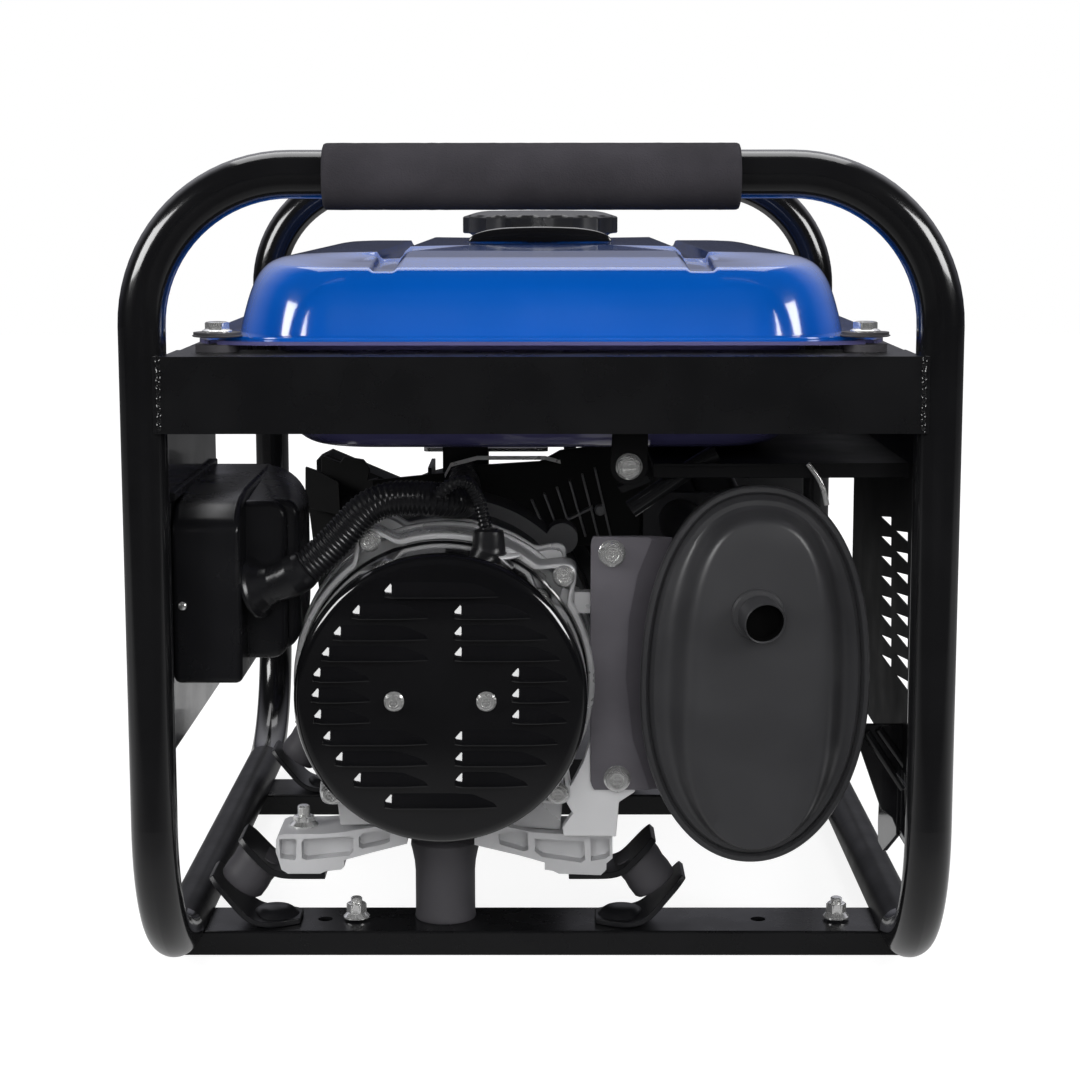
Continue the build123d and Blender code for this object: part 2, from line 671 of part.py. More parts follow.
with BuildPart() as cylinder_head:
    with BuildSketch(cylinder_plane(CYL_TOP)):
        RectangleRounded(96, 96, 12)
    extrude(amount=HEAD_TOP - CYL_TOP)
    for n in range(3):
        with BuildSketch(cylinder_plane(CYL_TOP + 4 + n * FIN_PITCH)):
            RectangleRounded(2 * HEAD_HALF, 118, 8)
        extrude(amount=2.6)
    rod_y(90, 236, HEAD_FRONT, CYL_Y, 14.9)
    rod_y(90, 240, CYL_Y, HEAD_BACK, 14.9)
    rod_y(90, 236, HEAD_FRONT - 1, CYL_Y - 12, 12.4, Mode.SUBTRACT)
save(cylinder_head, "cylinder_head")

with BuildPart() as valve_cover:
    with BuildSketch(cylinder_plane(HEAD_TOP)):
        RectangleRounded(84, 84, 16)
    extrude(amount=VALVE_TOP - HEAD_TOP)
    fillet(valve_cover.faces().sort_by(Axis.X)[-1].edges(), 6)
save(valve_cover, "valve_cover")

PLUG_X = 103.5
PLUG_Z = 208.0

with BuildPart() as spark_plug:
    with BuildSketch(front_plane(HEAD_FRONT, PLUG_X, PLUG_Z)):
        RegularPolygon(8, 6)
    extrude(amount=6)
    rod_y(PLUG_X, PLUG_Z, HEAD_FRONT - 12, HEAD_FRONT - 6, 4.2)
    rod_y(PLUG_X, PLUG_Z, HEAD_FRONT - 34, HEAD_FRONT - 12, 7.5)
save(spark_plug, "spark_plug")

with BuildPart() as flywheel:
    ring(FLYWHEEL_Y0, FLYWHEEL_Y0 + 12, FLYWHEEL_R, 15.02)
    ring(FLYWHEEL_Y0, FLYWHEEL_Y1 - 6, 26.0, 15.02)
    ring(FLYWHEEL_Y1 - 6, FLYWHEEL_Y1 - 2, FLYWHEEL_R, 30.0)
    with BuildSketch(shaft_plane(FLYWHEEL_Y1 - 6)):
        with PolarLocations(50, 12):
            Rectangle(36, 3, rotation=25)
    extrude(amount=FLYWHEEL_Y1 - 6 - FLYWHEEL_Y0 - 12)
save(flywheel, "flywheel")

with BuildPart() as blower_housing:
    ring(BLOWER_Y0, BLOWER_Y1, BLOWER_R, BLOWER_R - 2.5)
    ring(BLOWER_Y1 - 2.5, BLOWER_Y1, BLOWER_R, 60.0)
    with BuildSketch(front_plane(BLOWER_Y0 + 40)):
        with BuildLine():
            Polyline(
                (-158, 262), (-150, 266), (-96, 243), (-96, 238), (-146, 205), (-158, 214), close=True,
            )
        make_face()
    extrude(amount=40)
    rod_y(AX, AZ, BLOWER_Y0 - 1, BLOWER_Y1 - 2.5, BLOWER_R - 2.5, Mode.SUBTRACT)
    ring(BLOWER_Y0, BLOWER_Y0 + 2.5, BLOWER_R - 1, 40.0)
save(blower_housing, "blower_housing")

with BuildPart() as recoil_housing:
    rod_y(AX, AZ, BLOWER_Y1, RECOIL_Y1, RECOIL_R)
    fillet(recoil_housing.faces().sort_by(Axis.Y)[-1].edges(), 10)
    rod_y(AX, AZ, BLOWER_Y1 - 1, RECOIL_Y1 - 3, RECOIL_R - 4, Mode.SUBTRACT)
    with BuildSketch(shaft_plane(RECOIL_Y1 + 1)):
        with PolarLocations(48, 10):
            SlotOverall(26, 6)
    extrude(amount=6, mode=Mode.SUBTRACT)
    block(AX + 40, AX + 82, 168, 190, AZ + 12, AZ + 38)
    rod_y(AX, AZ, BLOWER_Y1 - 1, RECOIL_Y1 - 3, RECOIL_R - 4, Mode.SUBTRACT)
    rod_x(179, AZ + 25, AX + 20, AX + 90, 3.2, Mode.SUBTRACT)
save(recoil_housing, "recoil_housing")

with BuildPart() as recoil_pulley:
    rod_y(AX, AZ, 172, 174, PULLEY_R + 8)
    rod_y(AX, AZ, 174, 184, PULLEY_R)
    rod_y(AX, AZ, 184, 186, PULLEY_R + 8)
    rod_y(AX, AZ, 186, RECOIL_Y1 - 3.3, 9)
save(recoil_pulley, "recoil_pulley")

with BuildPart() as recoil_handle:
    rod_x(179, AZ + 25, AX + 34, AX + 90, 2.2)
    with BuildSketch(Plane(origin=(AX + 82.5, 179, AZ + 25), x_dir=(0, 1, 0), z_dir=(1, 0, 0))):
        SlotOverall(72, 16)
    extrude(amount=18)
    fillet(recoil_handle.faces().sort_by(Axis.X)[-1].edges(), 4)
save(recoil_handle, "recoil_handle")

CARB_Y = 118.0

with BuildPart() as carburettor:
    block(78, 110, HEAD_BACK, AIR_BOX_Y0, 222, 262)
    rod_z(94, 106, 196, 222, 17)
    rod_x(106, 232, 68, 78, 3.5)
save(carburettor, "carburettor")

with BuildPart() as choke_lever:
    rod_z(94, CARB_Y, 262.3, 268, 5)
    with BuildSketch(Plane.XY.offset(268)):
        with Locations((110, CARB_Y)):
            SlotOverall(44, 8)
    extrude(amount=2)
save(choke_lever, "choke_lever")

with BuildPart() as air_filter_box:
    block(62, 186, AIR_BOX_Y0, 236, 206, 292)
    fillet(air_filter_box.edges().filter_by(Axis.Y), 12)
    block(66, 182, AIR_BOX_Y0 + 4, 232, 210, 288, Mode.SUBTRACT)
save(air_filter_box, "air_filter_box")

GOV_X, GOV_Y = -40.0, 40.0

with BuildPart() as control_bracket:
    block(-76, -28, 10, 66, CASE_Z1, CASE_Z1 + 2.5)
    block(-76, -73.5, 10, 66, CASE_Z1, 266)
    block(-66, -36, 10, 12.5, CASE_Z1, 280)
save(control_bracket, "control_bracket")

with BuildPart() as governor_arm:
    rod_z(GOV_X, GOV_Y, CASE_Z1 + 3, 274, 4)
    with BuildSketch(Plane.XY.offset(274)):
        with Locations((GOV_X + 2, GOV_Y)):
            SlotOverall(84, 9)
    extrude(amount=2.5)
save(governor_arm, "governor_arm")

# the fuel hose from the tap to the carburettor bowl
HOSE_ROUTE = [
    (TAP_X, TAP_Y, TAP_Z - 34.2),
    (TAP_X, TAP_Y, TAP_Z - 50),
    (TAP_X + 14, TAP_Y - 16, TAP_Z - 65),
    (TAP_X + 24, TAP_Y - 44, TAP_Z - 71),
    (67.8, 106.0, 232.0),
]

with BuildPart() as fuel_hose:
    hose_length = swept_tube(HOSE_ROUTE, corner_radii(HOSE_ROUTE), 4.5)
save(fuel_hose, "fuel_hose")


# ---------------------------------------------------------------- exhaust
def muffler_plane(y):
    """The front-facing plane centred on the widest line of the muffler."""
    return front_plane(y, MUFFLER_X, MUFFLER_MID_Z)


def muffler_half(profile):
    """Lofts one half of the muffler through (y, shrink) pairs."""
    faces = [oval(muffler_plane(y), shrink).sketch for y, shrink in profile]
    loft(faces)


FRONT_HALF = ((SEAM_Y, 0.0), (SEAM_Y - 8, 3.0), (SEAM_Y - 15, 8.0))
FRONT_DOME = ((SEAM_Y - 15, 8.0), (SEAM_Y - 22, 14.0), (MUFFLER_FRONT, 22.0))
BACK_HALF = ((SEAM_Y, 0.0), (MUFFLER_BACK - 12, 4.0), (MUFFLER_BACK, 14.0))

with BuildPart() as muffler_body:
    for profile in (FRONT_HALF, FRONT_DOME, BACK_HALF):
        muffler_half(profile)
    extrude(oval(muffler_plane(SEAM_Y + 2), -SEAM_LIP).sketch, amount=4)
    hollow = oval(muffler_plane(MUFFLER_BACK - 2), 18.0).sketch
    extrude(hollow, amount=MUFFLER_BACK - 2 - (MUFFLER_FRONT + 4), mode=Mode.SUBTRACT)
    rod_y(TAIL_X, TAIL_Z, TAIL_FRONT, -240, TAIL_R + 0.05, Mode.SUBTRACT)
save(muffler_body, "muffler_body")

with BuildPart() as tail_pipe:
    rod_y(TAIL_X, TAIL_Z, TAIL_FRONT, -245, TAIL_R)
    rod_y(TAIL_X, TAIL_Z, MUFFLER_FRONT - 3, MUFFLER_FRONT, 14.4)
    rod_y(TAIL_X, TAIL_Z, TAIL_FRONT - 1, -244, TAIL_R - 1.5, Mode.SUBTRACT)
save(tail_pipe, "tail_pipe")

EXHAUST_ROUTE = [
    (90.0, CYL_Y - HEAD_HALF, 236.0),
    (90.0, CYL_Y - 90, 236.0),
    (109.0, -130.0, 224.0),
    (109.0, MUFFLER_BACK, 224.0),
]

with BuildPart() as exhaust_pipe:
    swept_tube(EXHAUST_ROUTE, corner_radii(EXHAUST_ROUTE), 14.0, 12.4)
    block(66, 114, HEAD_FRONT - 6, HEAD_FRONT, 218, 254)
    rod_y(90, 236, HEAD_FRONT - 8, HEAD_FRONT + 2, 12.4, Mode.SUBTRACT)
save(exhaust_pipe, "exhaust_pipe")

PLATE_Y = -212.0
UPPER_BOLT = (48.7, 296.5)
STRAP_Y = -244.0

with BuildPart() as muffler_bracket:
    with BuildSketch(front_plane(PLATE_Y)):
        with BuildLine():
            Polyline((28, 250), (32, 254), (70, 250), (70, 104), (36, 104), (32, 108), close=True)
        make_face()
        with Locations(*PLATE_BOLTS):
            Circle(4.4, mode=Mode.SUBTRACT)
    extrude(amount=SHEET)
    clear = oval(muffler_plane(PLATE_Y + 1), -1.2).sketch
    extrude(clear, amount=SHEET + 2, mode=Mode.SUBTRACT)
    fillet(muffler_bracket.edges().filter_by(Axis.Y).group_by(Axis.X)[0], 3)
save(muffler_bracket, "muffler_bracket")

with BuildPart() as heat_shield:
    block(62, GUARD_X, STRAP_Y - 2, -60, 296, 298)
    block(62, GUARD_X, STRAP_Y - 2, STRAP_Y, 290, 298)
    block(38, 62, STRAP_Y - 2, STRAP_Y, 284, 300)
    block(38, 60, STRAP_Y - 2, STRAP_Y, 300, BEAM_Z1 - BEAM_T)
    rod_y(UPPER_BOLT[0], UPPER_BOLT[1], STRAP_Y - 4, STRAP_Y + 4, 4.4, Mode.SUBTRACT)
save(heat_shield, "heat_shield")

GUARD_SLOT_PITCH = 12.0

with BuildPart() as muffler_guard:
    with BuildSketch(side_plane(GUARD_X + 2)):
        with BuildLine():
            Polyline(
                (-GUARD_Y0, GUARD_Z0), (-GUARD_Y0, GUARD_Z1), (-GUARD_Y1, GUARD_Z1),
                (-GUARD_Y1, GUARD_Z0 + 40), (-GUARD_Y1 + 30, GUARD_Z0), close=True,
            )
        make_face()
        for y, count, top in ((-170, 8, 262.0), (-225, 9, 256.0)):
            with Locations(*[(-y, top - n * GUARD_SLOT_PITCH) for n in range(count)]):
                SlotOverall(40, 5, mode=Mode.SUBTRACT)
    extrude(amount=2)
    fillet(muffler_guard.edges().filter_by(Axis.X).group_by(Axis.Z)[-1], 8)
    block(GUARD_X, GUARD_X + 4, -238, -214, 84, GUARD_Z0 + 6)
    block(GUARD_X, GUARD_X + 10, -HOOP_Y + TUBE_R + 5, -214, 84, 88)
save(muffler_guard, "muffler_guard")


# ---------------------------------------------------------------- engine mounts
UPPER_SHEET = ((62.0, FOOT_Z0), (96.0, FOOT_Z0), (120.0, FOOT_Z0 + 24.0))
LOWER_SHEET = ((84.0, MEMBER_H + SHEET), (110.0, MEMBER_H + SHEET), (138.0, MEMBER_H + SHEET + 28.0))


def bent_sheet(points, side, y):
    """Adds one bent mount plate, its top face through the points given outwards from the shaft."""
    flat, knee, tip = points
    run = sqrt((tip[0] - knee[0]) ** 2 + (tip[1] - knee[1]) ** 2)
    out_x, out_z = (tip[1] - knee[1]) / run, -(tip[0] - knee[0]) / run
    shift = SHEET * (1 + out_z) / out_x
    outline = [
        flat, knee, tip, (tip[0] + out_x * SHEET, tip[1] + out_z * SHEET),
        (knee[0] + shift, knee[1] - SHEET), (flat[0], flat[1] - SHEET),
    ]
    with BuildSketch(front_plane(y + MOUNT_PLATE_HALF)) as profile:
        with BuildLine():
            Polyline(*[(AX + side * u, z) for u, z in outline], close=True)
        make_face()
    extrude(profile.sketch, amount=2 * MOUNT_PLATE_HALF)


MOUNT_STATIONS = [(y, side) for y in (MEMBER_FRONT_Y, MEMBER_REAR_Y) for side in (-1, 1)]
MOUNT_PLATE_HALF = 19.0

with BuildPart() as mount_brackets:
    for y, side in MOUNT_STATIONS:
        bent_sheet(UPPER_SHEET, side, y)
        bent_sheet(LOWER_SHEET, side, y)
        rod_z(AX + side * FOOT_BOLT, y, FOOT_Z0 - 10, FOOT_Z0 + 5, 4.4, Mode.SUBTRACT)
save(mount_brackets, "mount_brackets")

with BuildPart() as mount_rubbers:
    for y, side in MOUNT_STATIONS:
        knee, tip = Vector(*UPPER_SHEET[1]), Vector(*UPPER_SHEET[2])
        slope = (tip - knee).normalized()
        out = Vector(slope.Y, -slope.X)
        start = (knee + tip) * 0.5 + out * (SHEET + WELD_GAP)
        reach = (Vector(*LOWER_SHEET[1]) - start).dot(out) - WELD_GAP
        origin = Vector(AX + side * start.X, y, start.Y)
        with BuildSketch(Plane(origin=origin, z_dir=(side * out.X, 0, out.Y))):
            Circle(MOUNT_RUBBER_R)
        extrude(amount=reach)
save(mount_rubbers, "mount_rubbers")

with BuildPart() as centre_bumper:
    with BuildSketch(Plane.XZ):
        with BuildLine():
            Polyline(
                (0, MEMBER_H), (POST_R, MEMBER_H), (POST_R, 44), (POST_R + 4, 58),
                (POST_R + 4, 63.5), (0, 63.5), close=True,
            )
        make_face()
    revolve(axis=Axis.Z)
centre_bumper.part = Pos(AX - 2, POST_Y, 0) * centre_bumper.part
save(centre_bumper, "centre_bumper")


# ---------------------------------------------------------------- control panel
OUTLET_Y = (-215.0, -165.0)
OUTLET_Z = 222.0

with BuildPart() as control_panel:
    block(PANEL_X - 2, PANEL_X, PANEL_Y0, PANEL_Y1, PANEL_Z0, PANEL_Z1)
    fillet(control_panel.edges().filter_by(Axis.X), 8)
    for y in OUTLET_Y:
        rod_x(y, OUTLET_Z, PANEL_X - 5, PANEL_X + 5, 17.1, Mode.SUBTRACT)
    block(PANEL_X - 5, PANEL_X + 5, -121, -99, OUTLET_Z + 6, OUTLET_Z + 36, Mode.SUBTRACT)
    rod_x(-110, OUTLET_Z - 18, PANEL_X - 5, PANEL_X + 5, 7.0, Mode.SUBTRACT)
save(control_panel, "control_panel")

with BuildPart() as panel_box:
    with BuildSketch(side_plane(PANEL_X)):
        with BuildLine():
            Polyline(
                (-BOX_Y0, BOX_Z0), (-BOX_Y0, BOX_Z1 - 12), (-BOX_Y0 - 14, BOX_Z1), (-BOX_Y1, BOX_Z1),
                (-BOX_Y1, BOX_Z0 + 16), (-BOX_Y1 + 16, BOX_Z0), close=True,
            )
        make_face()
    extrude(amount=-36)
    with BuildSketch(side_plane(PANEL_X + 36)):
        with BuildLine():
            Polyline(
                (-BOX_Y0 - 28, BOX_Z0 + 26), (-BOX_Y0 - 28, BOX_Z1 - 4), (-BOX_Y0 - 34, BOX_Z1),
                (-BOX_Y1 + 10, BOX_Z1), (-BOX_Y1 + 10, BOX_Z0 + 26), close=True,
            )
        make_face()
    extrude(amount=PANEL_X + 36 - BOX_X1)
    block(PANEL_X - 1, PANEL_X + 33, BOX_Y0 + 3, BOX_Y1 - 3, BOX_Z0 + 19, BOX_Z1 - 15, Mode.SUBTRACT)
    block(PANEL_X - 1, BOX_X1 - 3, BOX_Y0 + 31, BOX_Y1 - 14, BOX_Z0 + 29, BOX_Z1 - 15, Mode.SUBTRACT)
save(panel_box, "panel_box")

with BuildPart() as outlets:
    for y in OUTLET_Y:
        rod_x(y, OUTLET_Z, PANEL_X - 6, PANEL_X + 24, 17.0)
        rod_x(y, OUTLET_Z, PANEL_X - 6, PANEL_X - 2, 20.0)
        for offset in (-6.35, 6.35):
            slot_y0, slot_y1 = y + offset - 1, y + offset + 1
            block(PANEL_X - 7, PANEL_X + 14, slot_y0, slot_y1, OUTLET_Z - 1, OUTLET_Z + 7, Mode.SUBTRACT)
        rod_x(y, OUTLET_Z - 8.5, PANEL_X - 7, PANEL_X + 14, 2.5, Mode.SUBTRACT)
save(outlets, "outlets")

with BuildPart() as engine_switch:
    with BuildSketch(Plane(origin=(0, -110, OUTLET_Z + 21), x_dir=(1, 0, 0), z_dir=(0, -1, 0))) as rocker:
        with BuildLine():
            Polyline(
                (PANEL_X + 8, -13), (PANEL_X - 2.5, -14), (PANEL_X - 7, -12), (PANEL_X - 4, 0),
                (PANEL_X - 2, 13), (PANEL_X + 8, 13), close=True,
            )
        make_face()
    extrude(amount=9, both=True)
    rod_y(PANEL_X + 3, OUTLET_Z + 21, -119.8, -100.2, 2)
save(engine_switch, "engine_switch")

with BuildPart() as breaker_button:
    rod_x(-110, OUTLET_Z - 18, PANEL_X - 8, PANEL_X + 10, 6.5)
save(breaker_button, "breaker_button")

# ---------------------------------------------------------------- wiring looms
LOOM_X0 = PANEL_X + 36.2
MAIN_ROUTE = [
    (LOOM_X0, -226.0, 226.0),
    (-157.0, -226.0, 226.0),
    (-127.0, -228.0, 247.0),
    (-104.0, -228.0, 270.0),
    (-80.0, -226.0, 285.0),
    (-53.0, -218.0, 289.0),
    (-33.0, -198.0, 287.0),
    (-25.0, -168.0, 283.0),
    (-27.0, -120.0, 280.0),
    (-42.0, -56.0, 276.0),
    (-51.0, -22.0, 267.5),
    (-51.0, 10.0, 267.5),
]
BRANCH_ROUTE = [
    (-62.0, -240.5, 283.0),
    (-46.0, -236.0, 289.0),
    (-33.0, -226.0, 283.0),
    (-27.0, -206.0, 267.0),
    (-27.0, -206.0, LOOM_PAD_Z),
]

with BuildPart() as main_loom:
    loom_length = swept_tube(MAIN_ROUTE, corner_radii(MAIN_ROUTE), LOOM_R)
    with Locations(Location((LOOM_X0 + 5, MAIN_ROUTE[0][1], MAIN_ROUTE[0][2]), (0, 90, 0))):
        Cone(13.5, LOOM_R + 1, 10)
save(main_loom, "main_loom")

with BuildPart() as branch_loom:
    branch_length = swept_tube(BRANCH_ROUTE, corner_radii(BRANCH_ROUTE), BRANCH_R)
    with Locations((BRANCH_ROUTE[-1][0], BRANCH_ROUTE[-1][1], LOOM_PAD_Z + 6.5)):
        Cone(9.5, BRANCH_R + 1, 13)
save(branch_loom, "branch_loom")

print("loom", round(loom_length, 1), "branch", round(branch_length, 1), "hose", round(hose_length, 1))
for route in (MAIN_ROUTE, BRANCH_ROUTE, HOSE_ROUTE):
    print("radii", [round(r) for r in corner_radii(route)])

# ---------------------------------------------------------------- loose fasteners
with BuildPart() as flange_bolts:
    for x in (-COVER_BOLT_X, COVER_BOLT_X):
        hex_bolt(front_plane(COVER_FRONT, AX + x, AZ), head=4, across=10, flange_r=7, shank=3, length=50)
    for x, z in stud_centres():
        hex_bolt(front_plane(BRACKET_Y0, x, z), head=5, across=11, flange_r=8.2, shank=3, length=58)
    for x, z in PLATE_BOLTS:
        hex_bolt(front_plane(PLATE_Y - SHEET, x, z), head=5.5, across=13, flange_r=9.5, shank=4, length=12)
    strap_seat = front_plane(STRAP_Y - 2, UPPER_BOLT[0], UPPER_BOLT[1])
    hex_bolt(strap_seat, head=5.5, across=13, flange_r=9, shank=4, length=8)
    for x, y in ((-111.0, -175.0), (178.0, -169.0)):
        flange_nut(x, y, MEMBER_H, 0)
    for x in (AX - FOOT_BOLT, AX + FOOT_BOLT):
        flange_nut(x, MEMBER_FRONT_Y, FOOT_Z1, FOOT_Z1 - FOOT_Z0 + SHEET + 3)
        flange_nut(x, MEMBER_REAR_Y, CASE_Z0 + 8, CASE_Z0 + 8 - FOOT_Z0 + SHEET + 3)
save(flange_bolts, "flange_bolts")

print(len(EXPORTED), "pieces")
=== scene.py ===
"""Looks of the open-frame portable generator: studio, finishes and detailed pieces.

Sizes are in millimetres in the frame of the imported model, and Blender gets metres.
"""

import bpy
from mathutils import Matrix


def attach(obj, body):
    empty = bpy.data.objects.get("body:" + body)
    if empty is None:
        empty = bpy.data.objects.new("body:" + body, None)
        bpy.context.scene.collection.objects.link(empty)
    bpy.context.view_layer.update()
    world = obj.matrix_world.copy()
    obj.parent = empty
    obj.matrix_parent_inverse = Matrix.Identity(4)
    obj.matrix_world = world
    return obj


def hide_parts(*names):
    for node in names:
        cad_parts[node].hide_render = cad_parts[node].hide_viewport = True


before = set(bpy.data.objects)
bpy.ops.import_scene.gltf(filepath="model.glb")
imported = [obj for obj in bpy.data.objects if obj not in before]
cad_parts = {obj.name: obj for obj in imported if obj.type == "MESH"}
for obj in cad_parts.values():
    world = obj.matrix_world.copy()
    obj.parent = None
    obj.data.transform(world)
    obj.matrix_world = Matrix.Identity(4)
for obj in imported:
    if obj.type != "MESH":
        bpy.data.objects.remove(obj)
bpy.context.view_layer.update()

import logging
import math
from collections.abc import Sequence
from dataclasses import dataclass
from enum import Enum

import bmesh
import bpy
import numpy as np
from mathutils import Matrix, Vector

LOG = logging.getLogger("generator")
MM = 0.001
AX, AZ = -56.0, 168.0  # the shaft's axis
COAT_ROUGHNESS = 0.06
TONE_SCALE = 28.0
NEAR_WIDEST = 0.93  # from this share of the widest radius on, a rim's factors apply
CORNERS = ((0, 1, 1), (1, -1, 1), (2, -1, -1), (3, 1, -1))  # quarter turns, side of X, side of Y
Point = tuple[float, float, float]
Pair = tuple[float, float]
Pairs = tuple[Pair, ...]
Socket = bpy.types.NodeSocket


# ---------------------------------------------------------------- node trees
class NodeWork:
    """Adds nodes to one material's or world's tree and links them."""

    def __init__(self, owner: bpy.types.ID) -> None:
        """Turns the owner's nodes on and keeps its tree."""
        owner.use_nodes = True
        self.tree = owner.node_tree

    def node(self, kind: str, **settings: str) -> bpy.types.Node:
        """Adds one node.

        Args:
            kind: Its type, without the leading ShaderNode.
            settings: Its properties.

        Returns:
            The new node.
        """
        made = self.tree.nodes.new(f"ShaderNode{kind}")
        for name, value in settings.items():
            setattr(made, name, value)
        return made

    def link(self, *pairs: tuple[Socket, Socket]) -> None:
        """Links each pair's output to its input."""
        for source, target in pairs:
            self.tree.links.new(source, target)

    def joined(self, kind: str, *sources: Socket, **settings: str) -> Socket:
        """Adds a node whose first inputs are fed.

        Args:
            kind: Its type, without the leading ShaderNode.
            sources: What feeds its inputs, in order.
            settings: Its properties.

        Returns:
            Its first output.
        """
        made = self.node(kind, **settings)
        self.link(*zip(sources, made.inputs))
        return made.outputs[0]

    def ramp(self, source: Socket, spread: tuple[float, float], levels: tuple[float, float]) -> Socket:
        """Maps one value range onto another.

        Args:
            source: The socket that is read.
            spread: The range read.
            levels: The values at its two ends.

        Returns:
            The socket of the mapped value.
        """
        made = self.node("MapRange")
        made.inputs["From Min"].default_value, made.inputs["From Max"].default_value = spread
        made.inputs["To Min"].default_value, made.inputs["To Max"].default_value = levels
        self.link((source, made.inputs["Value"]))
        return made.outputs["Result"]

    def seen(self, path: bpy.types.Node) -> Socket:
        """Tells rays of the camera, and those through clear things, from the rest.

        Args:
            path: The Light Path node.

        Returns:
            A socket that is 1 for such rays.
        """
        rays = (path.outputs["Is Camera Ray"], path.outputs["Is Transmission Ray"])
        return self.joined("Math", *rays, operation="MAXIMUM")


# ---------------------------------------------------------------- finishes
class Grain(Enum):
    """Kinds of fine relief that a finish can carry."""

    PEEL = "peel"
    CAST = "cast"
    FOAM = "foam"
    MOULD = "mould"
    BRUSHED = "brushed"
    LAMINATE = "laminate"


@dataclass(frozen=True)
class Finish:
    """One surface finish, made once as a procedural material."""

    name: str
    slot: str
    colour: tuple[float, float, float]
    rough: float = 0.4
    metallic: float = 0.0
    coat: float = 0.0
    grain: Grain = Grain.PEEL
    size: float = 2.0
    depth: float = 0.02
    tone: float = 0.12
    rough_spread: float = 0.06
    specular: float = 0.5

    def material(self) -> bpy.types.Material:
        """Builds the node material, or returns the one already made.

        Returns:
            The Blender material of this finish.
        """
        known = bpy.data.materials.get(self.name)
        if known is not None:
            return known
        made = bpy.data.materials.new(self.name)
        work = NodeWork(made)
        shader = work.tree.nodes["Principled BSDF"]
        shader.inputs["Metallic"].default_value = self.metallic
        shader.inputs["Coat Weight"].default_value = self.coat
        shader.inputs["Coat Roughness"].default_value = COAT_ROUGHNESS
        shader.inputs["Specular IOR Level"].default_value = self.specular
        place = work.node("TexCoord").outputs["Object"]
        self._tone(work, shader, place)
        self._relief(work, shader, place)
        return made

    def _tone(self, work: NodeWork, shader: bpy.types.Node, place: Socket) -> None:
        """Varies colour and roughness softly over the surface.

        Args:
            work: The material's nodes.
            shader: Its Principled shader.
            place: Where on the object a point is.
        """
        broad = work.node("TexNoise")
        broad.inputs["Scale"].default_value, broad.inputs["Detail"].default_value = TONE_SCALE, 5.0
        ramp = work.node("ValToRGB")
        for element, at, change in zip(ramp.color_ramp.elements, (0.32, 0.68), (-self.tone, self.tone)):
            element.position = at
            element.color = (*(min(1.0, max(0.0, c * (1 + change))) for c in self.colour), 1.0)
        low, high = max(0.03, self.rough - self.rough_spread), min(1.0, self.rough + self.rough_spread)
        fac = broad.outputs["Fac"]
        work.link((place, broad.inputs["Vector"]), (fac, ramp.inputs["Fac"]),
                  (ramp.outputs["Color"], shader.inputs["Base Color"]),
                  (work.ramp(fac, (0.3, 0.7), (low, high)), shader.inputs["Roughness"]))

    def _relief(self, work: NodeWork, shader: bpy.types.Node, place: Socket) -> None:
        """Adds the fine grain as bump.

        Args:
            work: The material's nodes.
            shader: Its Principled shader.
            place: Where on the object a point is.
        """
        stretch = work.node("Mapping")
        scale = {Grain.BRUSHED: (0.05, 1.0, 1.0), Grain.LAMINATE: (0.01, 1.0, 0.01)}
        stretch.inputs["Scale"].default_value = scale.get(self.grain, (1.0, 1.0, 1.0))
        if self.grain is Grain.FOAM:
            texture = work.node("TexVoronoi")
            height = texture.outputs["Distance"]
        elif self.grain is Grain.LAMINATE:
            texture = work.node("TexWave", bands_direction="Y")
            height = texture.outputs["Fac"]
        else:
            texture = work.node("TexNoise")
            texture.inputs["Detail"].default_value = 2.0 if self.grain is Grain.PEEL else 6.0
            height = texture.outputs["Fac"]
        texture.inputs["Scale"].default_value = 1.0 / (self.size * MM)
        bump = work.node("Bump")
        bump.inputs["Strength"].default_value = 1.0
        bump.inputs["Distance"].default_value = self.depth * MM
        work.link((place, stretch.inputs["Vector"]), (stretch.outputs["Vector"], texture.inputs["Vector"]),
                  (height, bump.inputs["Height"]), (bump.outputs["Normal"], shader.inputs["Normal"]))


FRAME_BLACK = Finish("frame_gloss_black", "frame_black", (0.005, 0.005, 0.0055), 0.16, coat=0.5, size=3.0,
                     depth=0.006, rough_spread=0.03, specular=0.5)
BEAM_BLACK = Finish("beam_black", "frame_black", (0.005, 0.005, 0.0055), 0.28, size=3.0, depth=0.008,
                    specular=0.25)
RAIL_BLACK = Finish("rail_satin_black", "frame_black", (0.005, 0.005, 0.0055), 0.4, size=3.0, depth=0.008,
                    specular=0.15)
FOAM = Finish("foam_grip_charcoal", "foam_charcoal", (0.034, 0.032, 0.037), 0.9, grain=Grain.FOAM, size=0.9,
              depth=0.2, tone=0.2, specular=0.1)
TANK_BLUE = Finish("tank_blue_enamel", "tank_blue", (0.001, 0.084, 0.42), 0.14, coat=1.0, size=4.0, depth=0.004,
                   tone=0.03, rough_spread=0.03)
# Painted shade: the tank's own blue, darkened and greyed in a separate copy for the lower shell, stands in for
# the shade beneath the tank.
TANK_UNDERSIDE_SHADE = Finish("tank_blue_painted_underside_shade", "tank_blue", (0.085, 0.08, 0.2), 0.2, coat=1.0, size=4.0, depth=0.004,
                   tone=0.05, rough_spread=0.03)
CAP_BLACK = Finish("cap_moulded_black", "cap_black", (0.014, 0.014, 0.015), 0.32, grain=Grain.MOULD, size=0.5,
                   depth=0.02)
COVER_BLACK = Finish("cover_gloss_black", "cap_black", (0.004, 0.004, 0.0045), 0.14, coat=0.9, size=3.0,
                     depth=0.003, rough_spread=0.03, specular=0.4)
BOX_BLACK = Finish("box_moulded_black", "loom_black", (0.007, 0.007, 0.008), 0.27, grain=Grain.MOULD, size=0.7,
                   depth=0.008, specular=0.35)
